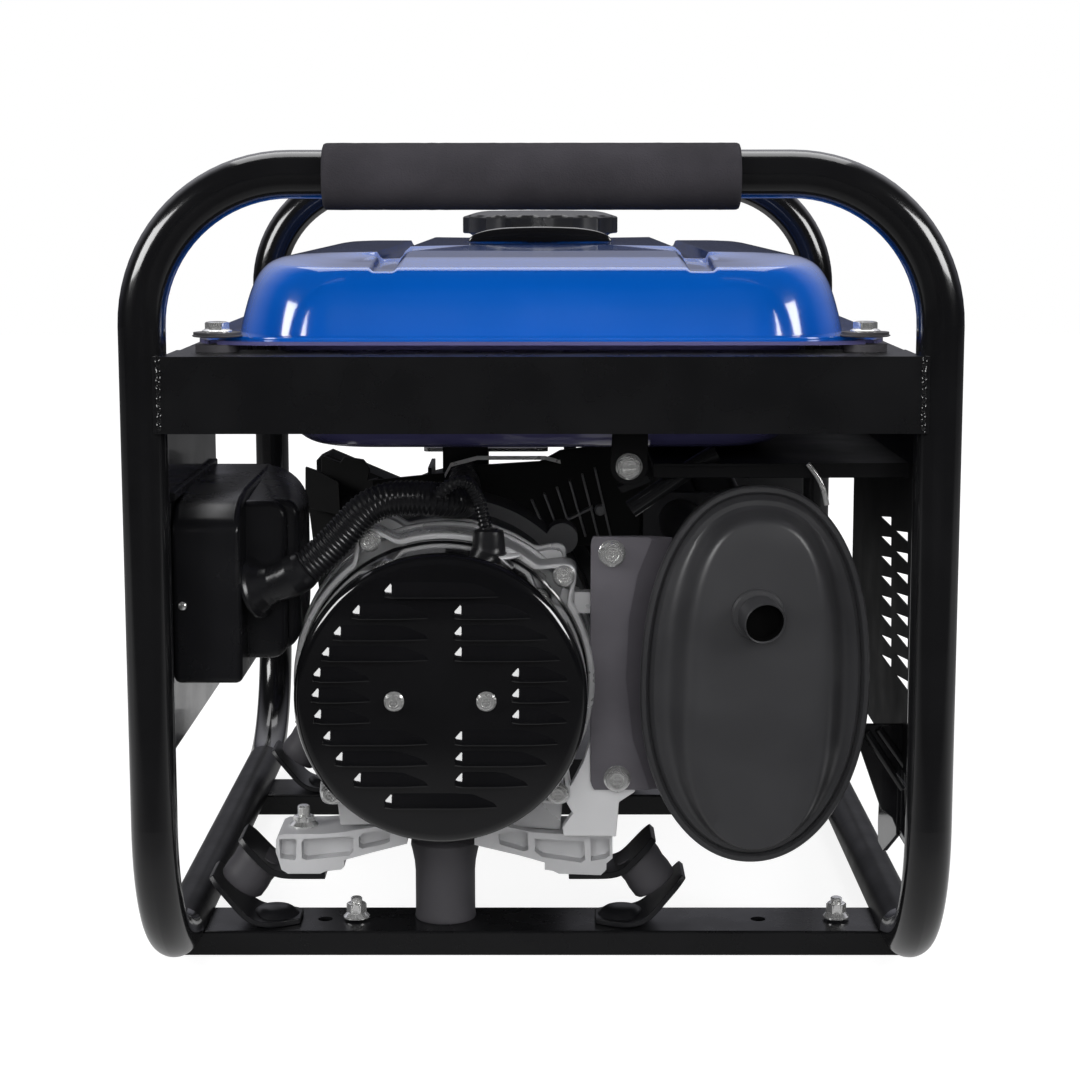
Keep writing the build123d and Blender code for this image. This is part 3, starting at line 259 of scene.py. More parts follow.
PANEL_BLACK = Finish("panel_gloss_black", "sheet_black", (0.010, 0.010, 0.011), 0.22, coat=0.5, size=2.0,
                     depth=0.006)
LOOM_BLACK = Finish("loom_black_dressed", "loom_black", (0.008, 0.008, 0.009), 0.26, size=1.0, depth=0.006)
RUBBER = Finish("moulded_rubber_black", "rubber_black", (0.050, 0.048, 0.053), 0.52, grain=Grain.MOULD,
                size=0.8, depth=0.03, specular=0.35)
SHEET_BLACK = Finish("sheet_satin_black", "sheet_black", (0.007, 0.007, 0.008), 0.34, size=2.0, depth=0.008,
                     specular=0.3)
GUARD_BLACK = Finish("guard_matt_black", "sheet_black", (0.005, 0.005, 0.0055), 0.6, size=2.0, depth=0.008,
                     specular=0.1)
# Partly the plate's own dark colour and partly painted light: its grey is lifted to make up for the shade that
# the muffler casts on it.
PLATE_GREY_PAINTED_LIGHT = Finish("plate_grey_painted_light", "sheet_black", (0.098, 0.092, 0.105), 0.4, size=2.0, depth=0.008)
ZINC = Finish("bright_zinc", "zinc_bolts", (0.90, 0.90, 0.89), 0.2, 0.84, grain=Grain.CAST, size=1.2,
              depth=0.012, tone=0.10, rough_spread=0.10)
CAST = Finish("aluminium_casting", "cast_aluminium", (0.66, 0.66, 0.67), 0.3, 0.6, grain=Grain.CAST, size=0.9,
              depth=0.03, tone=0.08, rough_spread=0.08)
CAST_SHADE = Finish("aluminium_in_shade", "cast_aluminium", (0.10, 0.10, 0.105), 0.45, 0.3, grain=Grain.CAST,
                    size=0.9, depth=0.03, tone=0.08)
CAST_FOOT = Finish("cast_aluminium_feet", "cast_aluminium", (0.58, 0.58, 0.59), 0.48, 0.3, grain=Grain.CAST,
                   size=0.8, depth=0.05, tone=0.06)
CAST_LIGHT = Finish("machined_aluminium", "cast_aluminium", (0.74, 0.74, 0.75), 0.5, 0.25, grain=Grain.CAST,
                    size=0.8, depth=0.03, tone=0.03)
ENGINE_BLACK = Finish("engine_satin_black", "engine_black", (0.009, 0.009, 0.010), 0.40, grain=Grain.CAST,
                      size=1.0, depth=0.03)
MUFFLER_GREY = Finish("muffler_satin_grey", "muffler_grey", (0.029, 0.029, 0.031), 0.36, 0.0, grain=Grain.CAST,
                      size=0.9, depth=0.006, tone=0.08)
# Painted highlight: the black-painted fins get a mid grey so that their edges read as lit lines.
FIN_EDGE_HIGHLIGHT = Finish("fin_edge_painted_highlight", "engine_black", (0.11, 0.11, 0.115), 0.35, grain=Grain.CAST, size=1.0,
                   depth=0.02)
# Painted shade: a near-black, almost unreflecting finish for the cup set inside the tail pipe where its bore is
# dark.
BORE_SHADE = Finish("bore_painted_shade", "muffler_grey", (0.002, 0.002, 0.002), 0.9, specular=0.05)
SHADE_BLACK = Finish("shroud_matt_black", "engine_black", (0.006, 0.006, 0.006), 0.6, grain=Grain.CAST,
                     size=1.0, depth=0.02, specular=0.3)
STEEL = Finish("machined_steel", "stator_steel", (0.42, 0.42, 0.43), 0.32, 1.0, grain=Grain.BRUSHED, size=0.8,
               depth=0.01)
LAMINATE = Finish("laminated_steel", "stator_steel", (0.20, 0.20, 0.21), 0.45, 0.9, grain=Grain.LAMINATE,
                  size=6.0, depth=0.2)
IRON = Finish("cast_iron", "flywheel_iron", (0.16, 0.16, 0.165), 0.5, 0.9, grain=Grain.CAST, size=1.4,
              depth=0.06)
BRASS = Finish("satin_brass", "tap_brass", (0.55, 0.40, 0.16), 0.35, 1.0, grain=Grain.CAST, size=1.0,
               depth=0.02)
SWITCH_RED = Finish("switch_red_dressed", "switch_red", (0.45, 0.018, 0.012), 0.25, size=1.0, depth=0.005)

CAD_FINISH: dict[Finish, tuple[str, ...]] = {
    FRAME_BLACK: ("front_hoop", "rear_hoop"),
    RAIL_BLACK: ("bottom_rails",),
    BEAM_BLACK: ("front_beam", "rear_beam", "side_rails", "front_cross_member", "rear_cross_member"),
    TANK_UNDERSIDE_SHADE: ("tank_lower_shell",),
    TANK_BLUE: ("filler_neck",),
    RUBBER: ("tank_grommets", "fuel_hose"),
    CAST: ("carburettor",),
    CAST_SHADE: ("adaptor_housing",),
    ENGINE_BLACK: ("crankcase", "cylinder", "cylinder_head", "valve_cover"),
    GUARD_BLACK: ("blower_housing", "heat_shield"),
    SHEET_BLACK: ("recoil_housing", "control_bracket"),
    PANEL_BLACK: ("control_panel",),
    CAP_BLACK: ("air_filter_box", "oil_dipstick", "voltage_regulator", "recoil_handle"),
    ZINC: ("governor_arm", "choke_lever", "spark_plug"),
    STEEL: ("rotor", "crankshaft", "rotor_bearing", "recoil_pulley"),
    LAMINATE: ("stator",),
    IRON: ("flywheel",),
    BRASS: ("fuel_tap", "fuel_tap_lever"),
    MUFFLER_GREY: ("exhaust_pipe",),
    BOX_BLACK: ("outlets",),
    SWITCH_RED: ("engine_switch", "breaker_button"),
}


# ---------------------------------------------------------------- mesh tools
class Axis(Enum):
    """Directions that a turned or extruded form can point in."""

    FRONT = (0.0, -1.0, 0.0)
    BACK = (0.0, 1.0, 0.0)
    UP = (0.0, 0.0, 1.0)
    RIGHT = (1.0, 0.0, 0.0)


def basis(axis: Axis | Sequence[float]) -> np.ndarray:
    """Two cross directions and the axis, as rows of a right-handed set.

    Args:
        axis: The direction that a form points in.

    Returns:
        A 3 by 3 array whose rows are the first side, the second side and the axis.
    """
    along = np.array(axis.value if isinstance(axis, Axis) else axis, float)
    along /= np.linalg.norm(along)
    guide = np.array([0.0, 0.0, 1.0]) if abs(along[2]) < 0.9 else np.array([1.0, 0.0, 0.0])
    side = np.cross(guide, along)
    side /= np.linalg.norm(side)
    return np.array([side, np.cross(along, side), along])


def full_turn(count: int) -> np.ndarray:
    """Evenly spaced angles round a circle, in radians."""
    return np.linspace(0, 2 * np.pi, count, endpoint=False)


def eased(share: np.ndarray) -> np.ndarray:
    """A share from 0 to 1 that leaves and arrives gently."""
    return share * share * (3 - 2 * share)


def run_lengths(line: np.ndarray) -> np.ndarray:
    """Distances of a line's points from its start, along it."""
    return np.concatenate([[0], np.cumsum(np.linalg.norm(np.diff(line, axis=0), axis=1))])


def circle(turn: np.ndarray, side: np.ndarray, other: np.ndarray) -> np.ndarray:
    """Directions that stand out from an axis, one row for each angle."""
    return np.cos(turn)[:, None] * side + np.sin(turn)[:, None] * other


def placed(name: str, data: bpy.types.ID) -> bpy.types.Object:
    """Makes an object of a mesh, camera or lamp and links it to the scene.

    Args:
        name: The object's name.
        data: What it shows.

    Returns:
        The new object.
    """
    made = bpy.data.objects.new(name, data)
    bpy.context.scene.collection.objects.link(made)
    return made


class Shape:
    """Vertices and faces gathered for one piece, in millimetres."""

    def __init__(self) -> None:
        """Starts with nothing in it."""
        self.points: list[np.ndarray] = []
        self.faces: list[tuple[int, ...]] = []
        self.count = 0

    def add(self, points: np.ndarray, faces: Sequence[tuple[int, ...]]) -> None:
        """Adds a patch.

        Args:
            points: Its vertices, one row each.
            faces: Its faces, as rows of its own vertex numbers.
        """
        self.points.append(np.asarray(points, float).reshape(-1, 3))
        self.faces.extend(tuple(i + self.count for i in face) for face in faces)
        self.count += len(self.points[-1])

    def grid(self, rows: np.ndarray, caps: bool = True) -> None:
        """Adds a surface through rows of points, each of which closes on itself.

        Args:
            rows: Points as an array of rows by columns by 3.
            caps: Whether the first and last rows are filled.
        """
        n, m = rows.shape[:2]
        faces = [(i * m + j, i * m + (j + 1) % m, (i + 1) * m + (j + 1) % m, (i + 1) * m + j)
                 for i in range(n - 1) for j in range(m)]
        if caps:
            faces.append(tuple(reversed(range(m))))
            faces.append(tuple((n - 1) * m + j for j in range(m)))
        self.add(rows.reshape(-1, 3), faces)

    def turned(self, profile: Sequence[Pair], origin: Point, axis: Axis | Sequence[float],
               segments: int = 64, rim: np.ndarray | None = None, hollow: bool = False) -> None:
        """Adds a form turned about an axis.

        Args:
            profile: Pairs of radius and distance along the axis.
            origin: The point that distances are counted from.
            axis: The direction of the axis.
            segments: Points round each ring.
            rim: Factors, one for each point round it, on the radii close to the widest.
            hollow: Whether the profile closes on itself, leaving a hole in the middle.
        """
        side, other, along = basis(axis)
        unit = circle(full_turn(segments), side, other)
        widest = max(r for r, _ in profile)
        rows = []
        for radius, height in list(profile) + (list(profile[:1]) if hollow else []):
            share = rim if rim is not None and radius > NEAR_WIDEST * widest else 1.0
            rows.append(np.array(origin) + np.reshape(radius * share, (-1, 1)) * unit + along * height)
        self.grid(np.array(rows), caps=not hollow)

    def prism(self, outline: Sequence[Pair], axis: Axis, low: float, high: float) -> None:
        """Adds a form of even section.

        Args:
            outline: Its section: X and Z for FRONT or BACK, Y and Z for RIGHT, X and Y for UP.
            axis: The direction of the even run.
            low: Where the run starts on that axis's coordinate.
            high: Where the run ends.
        """
        flat = np.array(outline, float)
        rows = []
        for value in (low, high):
            level = np.full(len(flat), value)
            if axis in (Axis.FRONT, Axis.BACK):
                rows.append(np.stack([flat[:, 0], level, flat[:, 1]], 1))
            elif axis is Axis.RIGHT:
                rows.append(np.stack([level, flat[:, 0], flat[:, 1]], 1))
            else:
                rows.append(np.stack([flat[:, 0], flat[:, 1], level], 1))
        self.grid(np.array(rows))

    def block(self, low: Point, high: Point) -> None:
        """Adds a rectangular block, whose edges a bevel softens later.

        Args:
            low: Its lowest corner.
            high: Its highest corner.
        """
        section = [(low[0], low[1]), (high[0], low[1]), (high[0], high[1]), (low[0], high[1])]
        self.prism(section, Axis.UP, low[2], high[2])

    def tube(self, path: np.ndarray, radii: np.ndarray | float, segments: int = 20) -> None:
        """Adds a round tube along a path, capped at both ends.

        Args:
            path: Points of its centreline.
            radii: One radius, or one for each point.
            segments: Points round it.
        """
        path = np.asarray(path, float)
        radii = np.broadcast_to(np.asarray(radii, float), (len(path),))
        tangent = np.gradient(path, axis=0)
        tangent /= np.linalg.norm(tangent, axis=1)[:, None]
        side = basis(tangent[0])[0]
        turn = full_turn(segments)
        rows = []
        for spot, along, radius in zip(path, tangent, radii):
            side = side - along * (side @ along)
            side /= np.linalg.norm(side)
            rows.append(spot + radius * circle(turn, side, np.cross(along, side)))
        self.grid(np.array(rows))

    def hexagon(self, origin: Point, axis: Axis | Sequence[float], across: float, low: float,
                high: float) -> None:
        """Adds a hexagon head with a turned-down crown and a shallow dish.

        Args:
            origin: The point that distances are counted from.
            axis: The direction that the head faces.
            across: Width across its flats.
            low: Where the head starts.
            high: Where its flats end.
        """
        side, other, along = basis(axis)
        turn = full_turn(48)
        flat = across / 2 / np.cos((turn + np.pi / 6) % (np.pi / 3) - np.pi / 6)
        half = across / 2
        steps = [(flat, low), (flat, high), (np.minimum(flat, half * 1.06), high + 0.5),
                 (np.full(48, half * 0.86), high + 0.8), (np.full(48, half * 0.66), high + 0.7),
                 (np.full(48, half * 0.58), high - 0.2), (np.full(48, half * 0.08), high - 0.25)]
        unit = circle(turn, side, other)
        self.grid(np.array([np.array(origin) + r[:, None] * unit + along * h for r, h in steps]))

    def flange_bolt(self, origin: Point, axis: Axis | Sequence[float], across: float, flange: float,
                    head: float = 4.5) -> None:
        """Adds a flanged hexagon bolt head that sits on a surface.

        Args:
            origin: The middle of its seat.
            axis: The direction that it faces.
            across: Width across its flats.
            flange: Radius of its flange.
            head: Height of its head above the seat.
        """
        half = across / 2
        skirt = [(0.1, 0), (flange, 0), (flange, 0.9), (flange * 0.93, 1.3), (half * 1.1, 2.0), (0.1, 2.0)]
        self.turned(skirt, origin, axis, 48)
        self.hexagon(origin, axis, across, 1.6, head)
        side, other, _ = basis(axis)
        for k in range(4):
            spin = np.pi / 4 + k * np.pi / 2
            spot = np.array(origin) + half * 0.3 * (math.cos(spin) * side + math.sin(spin) * other)
            raised = [(0.05, head - 0.4), (half * 0.19, head - 0.4), (half * 0.13, head + 0.25),
                      (0.05, head + 0.3)]
            self.turned(raised, tuple(spot), axis, 8)


def flange_nut(shape: Shape, origin: Point, across: float, flange: float, head: float, tip: float) -> None:
    """Adds a flanged nut with the end of its stud standing out.

    Args:
        shape: Where it goes.
        origin: The middle of its seat.
        across: Width across its flats.
        flange: Radius of its flange.
        head: Height of its top above the seat.
        tip: Height of the stud's end above the seat.
    """
    half = across / 2
    skirt = [(0.1, 0), (flange, 0), (flange, 0.9), (flange * 0.92, 1.5), (half * 1.12, 3.0), (0.1, 3.0)]
    shape.turned(skirt, origin, Axis.UP, 48)
    shape.hexagon(origin, Axis.UP, across, 2.6, head)
    thread = [(0.1, head - 0.6)]
    for k in range(int((tip - head) / 0.6)):
        thread += [(across * 0.29, head - 0.4 + 0.6 * k), (across * 0.335, head - 0.1 + 0.6 * k)]
    shape.turned(thread + [(across * 0.27, tip), (0.1, tip)], origin, Axis.UP, 32)


def carve(base: Shape, tool: Shape) -> Shape:
    """Cuts one shape out of another.

    Args:
        base: The shape that is cut.
        tool: The shape that is taken away.

    Returns:
        What is left of the base.
    """
    holders = []
    for shape in (base, tool):
        mesh = bpy.data.meshes.new("carving")
        mesh.from_pydata(np.vstack(shape.points).tolist(), [], shape.faces)
        work = bmesh.new()
        work.from_mesh(mesh)
        bmesh.ops.recalc_face_normals(work, faces=work.faces)
        work.to_mesh(mesh)
        work.free()
        holders.append(placed("carving", mesh))
    cut = holders[0].modifiers.new("cut", "BOOLEAN")
    cut.operation, cut.solver, cut.object = "DIFFERENCE", "EXACT", holders[1]
    bpy.context.view_layer.update()
    left = bpy.data.meshes.new_from_object(holders[0].evaluated_get(bpy.context.evaluated_depsgraph_get()))
    result = Shape()
    result.add(np.array([v.co for v in left.vertices]), [tuple(face.vertices) for face in left.polygons])
    for holder in holders:
        mesh = holder.data
        bpy.data.objects.remove(holder)
        bpy.data.meshes.remove(mesh)
    bpy.data.meshes.remove(left)
    return result


def rounded(width: float, height: float, radius: float, steps: int = 6,
            centre: Pair = (0.0, 0.0)) -> list[Pair]:
    """Corner points of a rectangle with round corners.

    Args:
        width: Its full width.
        height: Its full height.
        radius: Its corner radius.
        steps: Points on each corner.
        centre: Its middle.

    Returns:
        The outline, anticlockwise.
    """
    outline = []
    for turn, sx, sy in CORNERS:
        for k in range(steps + 1):
            angle = (turn + k / steps) * math.pi / 2
            x = centre[0] + sx * (width / 2 - radius) + radius * math.cos(angle)
            y = centre[1] + sy * (height / 2 - radius) + radius * math.sin(angle)
            outline.append((x, y))
    return outline


@dataclass(frozen=True)
class Dress:
    """How a shape becomes a piece: its finish, body and edge treatment."""

    finish: Finish
    body: str = "frame"
    sharp: float = 35.0
    bevel: float = 0.0
    bevel_steps: int = 3
    replaces: tuple[str, ...] = ()

    def make(self, name: str, shape: Shape) -> bpy.types.Object:
        """Makes the Blender object of a piece and hangs it on its body.

        Args:
            name: The piece's name.
            shape: Its mesh, in millimetres.

        Returns:
            The new object.
        """
        mesh = bpy.data.meshes.new(name)
        mesh.from_pydata((np.vstack(shape.points) * MM).tolist(), [], shape.faces)
        mesh.validate()
        work = bmesh.new()
        work.from_mesh(mesh)
        bmesh.ops.remove_doubles(work, verts=work.verts, dist=1e-6)
        bmesh.ops.recalc_face_normals(work, faces=work.faces)
        work.to_mesh(mesh)
        work.free()
        mesh.shade_smooth()
        mesh.set_sharp_from_angle(angle=math.radians(self.sharp))
        made = placed(name, mesh)
        made.data.materials.append(self.finish.material())
        if self.bevel:
            soft = made.modifiers.new("edges", "BEVEL")
            soft.width, soft.segments = self.bevel * MM, self.bevel_steps
            soft.limit_method, soft.angle_limit = "ANGLE", math.radians(30)
            soft.harden_normals = True
        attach(made, self.body)
        if self.replaces:
            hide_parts(*self.replaces)
        LOG.info("%s: %d faces in %s on %s", name, len(mesh.polygons), self.finish.name, self.body)
        return made


def smooth_path(points: Sequence[Point], spacing: float) -> np.ndarray:
    """Points read along the smooth line that a route controls.

    Args:
        points: The route's control points, in millimetres.
        spacing: Distance between the points that come back.

    Returns:
        Evenly spaced points along a NURBS spline of order 3.
    """
    curve = bpy.data.curves.new("route", "CURVE")
    curve.dimensions = "3D"
    line = curve.splines.new("NURBS")
    line.points.add(len(points) - 1)
    for knot, spot in zip(line.points, points):
        knot.co = (*spot, 1.0)
    line.order_u = 3
    line.use_endpoint_u = True
    curve.resolution_u = 24
    holder = bpy.data.objects.new("route", curve)
    mesh = bpy.data.meshes.new_from_object(holder)
    raw = np.array([v.co for v in mesh.vertices], float)
    bpy.data.objects.remove(holder)
    bpy.data.meshes.remove(mesh)
    reach = run_lengths(raw)
    at = np.linspace(0, reach[-1], max(4, int(reach[-1] / spacing)))
    return np.stack([np.interp(at, reach, raw[:, k]) for k in range(3)], 1)


def dress_cad() -> None:
    """Gives each CAD node that stays in view its finish."""
    for finish, names in CAD_FINISH.items():
        for name in names:
            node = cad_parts[name]
            if not node.material_slots:
                node.data.materials.append(None)
            for place in node.material_slots:
                place.material = finish.material()


# ---------------------------------------------------------------- sub-assemblies
@dataclass
class Studio:
    """Camera, floor, world and lamps."""

    lens: float = 77.56
    pitch: float = 8.4057
    roll: float = 0.0413
    yaw: float = 0.1536
    eye: Point = (2.75, -1529.0, 444.8)
    floor_half: float = 6.0
    fill_colour: tuple[float, ...] = (0.17, 0.17, 0.18, 1.0)
    room_depth: tuple[Point, ...] = ((0.0, 0.02, 0.022), (0.12, 0.06, 0.068), (0.62, 0.9, 0.96))
    room_height: tuple[Point, ...] = ((0.0, 0.04, 0.045), (0.06, 0.07, 0.08), (0.3, 0.45, 0.47),
                                      (0.6, 0.9, 0.9))

    def camera(self) -> None:
        """Makes the scene's camera at the standing viewer's place."""
        pitch, roll, yaw = (math.radians(a) for a in (self.pitch, self.roll, self.yaw))
        forward = Vector((-math.sin(yaw) * math.cos(pitch), math.cos(yaw) * math.cos(pitch), -math.sin(pitch)))
        flat = forward.cross(Vector((0, 0, 1))).normalized()
        up = flat.cross(forward)
        right = math.cos(roll) * flat - math.sin(roll) * up
        top = math.sin(roll) * flat + math.cos(roll) * up
        data = bpy.data.cameras.new("camera")
        data.sensor_width, data.lens, data.clip_end = 36.0, self.lens, 50.0
        holder = placed("camera", data)
        turn = Matrix((right, top, -forward)).transposed().to_4x4()
        holder.matrix_world = Matrix.Translation(Vector(self.eye) * MM) @ turn
        bpy.context.scene.camera = holder

    def world(self) -> None:
        """Makes the world white to the eye, a graded room in gloss, and soft grey as a light."""
        world = bpy.data.worlds.new("studio")
        bpy.context.scene.world = world
        work = NodeWork(world)
        fill = work.tree.nodes["Background"]
        fill.inputs["Color"].default_value = self.fill_colour
        split = work.node("SeparateXYZ")
        work.link((work.node("TexCoord").outputs["Generated"], split.inputs["Vector"]))
        tones = []
        for source, stops in (("Y", self.room_depth), ("Z", self.room_height)):
            ramp = work.node("ValToRGB")
            known = ramp.color_ramp.elements
            for stop in stops[1:-1]:
                known.new(stop[0])
            for element, (at, grey, blue) in zip(known, stops):
                element.position, element.color = at, (grey, grey, blue, 1.0)
            work.link((split.outputs[source], ramp.inputs["Fac"]))
            tones.append(ramp.outputs["Color"])
        mirrored = work.joined("Background", work.joined("VectorMath", *tones, operation="MULTIPLY"))
        white = work.node("Background")
        white.inputs["Color"].default_value = (1.0, 1.0, 1.0, 1.0)
        path = work.node("LightPath")
        inner = work.joined("MixShader", path.outputs["Is Glossy Ray"], fill.outputs["Background"], mirrored)
        outer = work.joined("MixShader", work.seen(path), inner, white.outputs["Background"])
        work.link((outer, work.tree.nodes["World Output"].inputs["Surface"]))

    def floor(self) -> None:
        """Makes the pale floor, which keeps the object's shadow."""
        mesh = bpy.data.meshes.new("floor")
        half = self.floor_half
        mesh.from_pydata([(-half, -half, 0), (half, -half, 0), (half, half, 0), (-half, half, 0)], [],
                         [(0, 1, 2, 3)])
        floor = placed("floor", mesh)
        paint = bpy.data.materials.new("floor_pale")
        work = NodeWork(paint)
        shader = work.tree.nodes["Principled BSDF"]
        shader.inputs["Roughness"].default_value = 0.9
        shader.inputs["Specular IOR Level"].default_value = 0.0
        place = work.node("TexCoord").outputs["Object"]
        reach, split = work.node("VectorMath", operation="LENGTH"), work.node("SeparateXYZ")
        work.link((place, reach.inputs[0]), (place, split.inputs["Vector"]))
        away, back = reach.outputs["Value"], split.outputs["Y"]
        work.link((work.ramp(back, (-0.75, -0.3), (0.03, 0.26)), shader.inputs["Base Color"]))
        path, glow, sheen = work.node("LightPath"), work.node("Emission"), work.node("Emission")
        near = work.joined("Math", work.ramp(back, (-0.45, -0.15), (0.0, 0.3)), path.outputs["Is Glossy Ray"],
                           operation="MULTIPLY")
        level = work.joined("Math", work.ramp(away, (0.5, 1.0), (1.0, 0.0)), near, operation="MULTIPLY")
        work.link((work.ramp(away, (0.4, 1.3), (0.88, 1.0)), glow.inputs["Strength"]),
                  (level, sheen.inputs["Strength"]))
        paint_out = shader.outputs["BSDF"]
        lit = work.joined("AddShader", paint_out, sheen.outputs["Emission"])
        both = work.joined("AddShader", paint_out, glow.outputs["Emission"])
        mix = work.joined("MixShader", work.seen(path), lit, both)
        work.link((mix, work.tree.nodes["Material Output"].inputs["Surface"]))
        mesh.materials.append(paint)

    def lamp(self, name: str, place: Point, size: tuple[float, float], power: float, aim: Point,
             mirrored: bool = True) -> None:
        """Makes one soft rectangular lamp.

        Args:
            name: The lamp's name.
            place: Where it stands, in metres.
            size: Its width and height, in metres.
            power: Its power in watts.
            aim: The point that it faces, in metres.
            mirrored: Whether gloss shows its reflection.
        """
        data = bpy.data.lights.new(name, "AREA")
        data.shape, data.size, data.size_y, data.energy = "RECTANGLE", size[0], size[1], power
        holder = placed(name, data)
        holder.location = place
        holder.rotation_euler = (Vector(aim) - Vector(place)).to_track_quat("-Z", "Y").to_euler()
        holder.visible_glossy = mirrored

    def build(self) -> None:
        """Makes the whole studio."""
        bpy.context.scene.view_settings.view_transform = "Standard"
        self.camera()
        self.world()
        self.floor()
        self.lamp("overhead", (0.0, 0.5, 2.4), (2.2, 1.6), 30, (0.0, 0.0, 0.3))
        self.lamp("left_box", (-1.75, -1.15, 1.1), (0.95, 0.7), 23, (0.0, 0.0, 0.3))
        self.lamp("right_box", (1.75, -1.15, 1.1), (0.95, 0.7), 23, (0.0, 0.0, 0.3))
        self.lamp("front_fill", (0.0, -2.6, 1.0), (2.0, 1.6), 46, (0.0, 0.0, 0.25), mirrored=False)


@dataclass
class FrameCradle:
    """Weld beads on the black tube cradle."""

    weld_x: float = 202.6
    weld_y: float = 299.5
    weld_span: Pair = (321.0, 360.5)

    def build(self) -> None:
        """Makes the bumpy weld beads where the beams meet the tubes."""
        beads = Shape()
        rng = np.random.default_rng(7)
        for side in (-1, 1):
            for front in (-1, 1):
                run = np.linspace(*self.weld_span, 60)
                sway = 0.5 * np.sin(run * 1.9)
                path = np.stack([side * (self.weld_x + sway), front * (self.weld_y + 0.6 * np.cos(run * 1.3)),
                                 run], 1)
                swell = 1.2 + 0.3 * np.abs(np.sin(run * 1.1)) + rng.normal(0, 0.12, 60)
                beads.tube(path, swell, 10)
        Dress(FRAME_BLACK, sharp=60).make("weld_beads", beads)


@dataclass
class HandGrips:
    """Foam sleeves on the top tubes of both hoops."""

    low: float = -114.5
    high: float = 104.7
    radius: float = 17.5
    hoop_y: float = 289.0
    top_z: float = 455.1
    fill: float = 0.9

    def build(self) -> None:
        """Makes both sleeves, which are soft foam."""
        rng = np.random.default_rng(4)
        for name, y in (("front_grip", -self.hoop_y), ("rear_grip", self.hoop_y)):
            length = self.high - self.low
            ends = [(12.9, 0.3), (15.6, 0.0), (16.9, 0.5), (17.4, 1.6)]
            body = [(self.radius + rng.normal(0, 0.035), s) for s in np.linspace(3, length - 3, 60)]
            profile = ends + body + [(r, length - s) for r, s in reversed(ends)]
            shape = Shape()
            shape.turned(profile, (self.low, y, self.top_z), Axis.RIGHT, 72)
            sleeve = Dress(FOAM, sharp=50, replaces=(name,)).make(f"{name}_foam", shape)


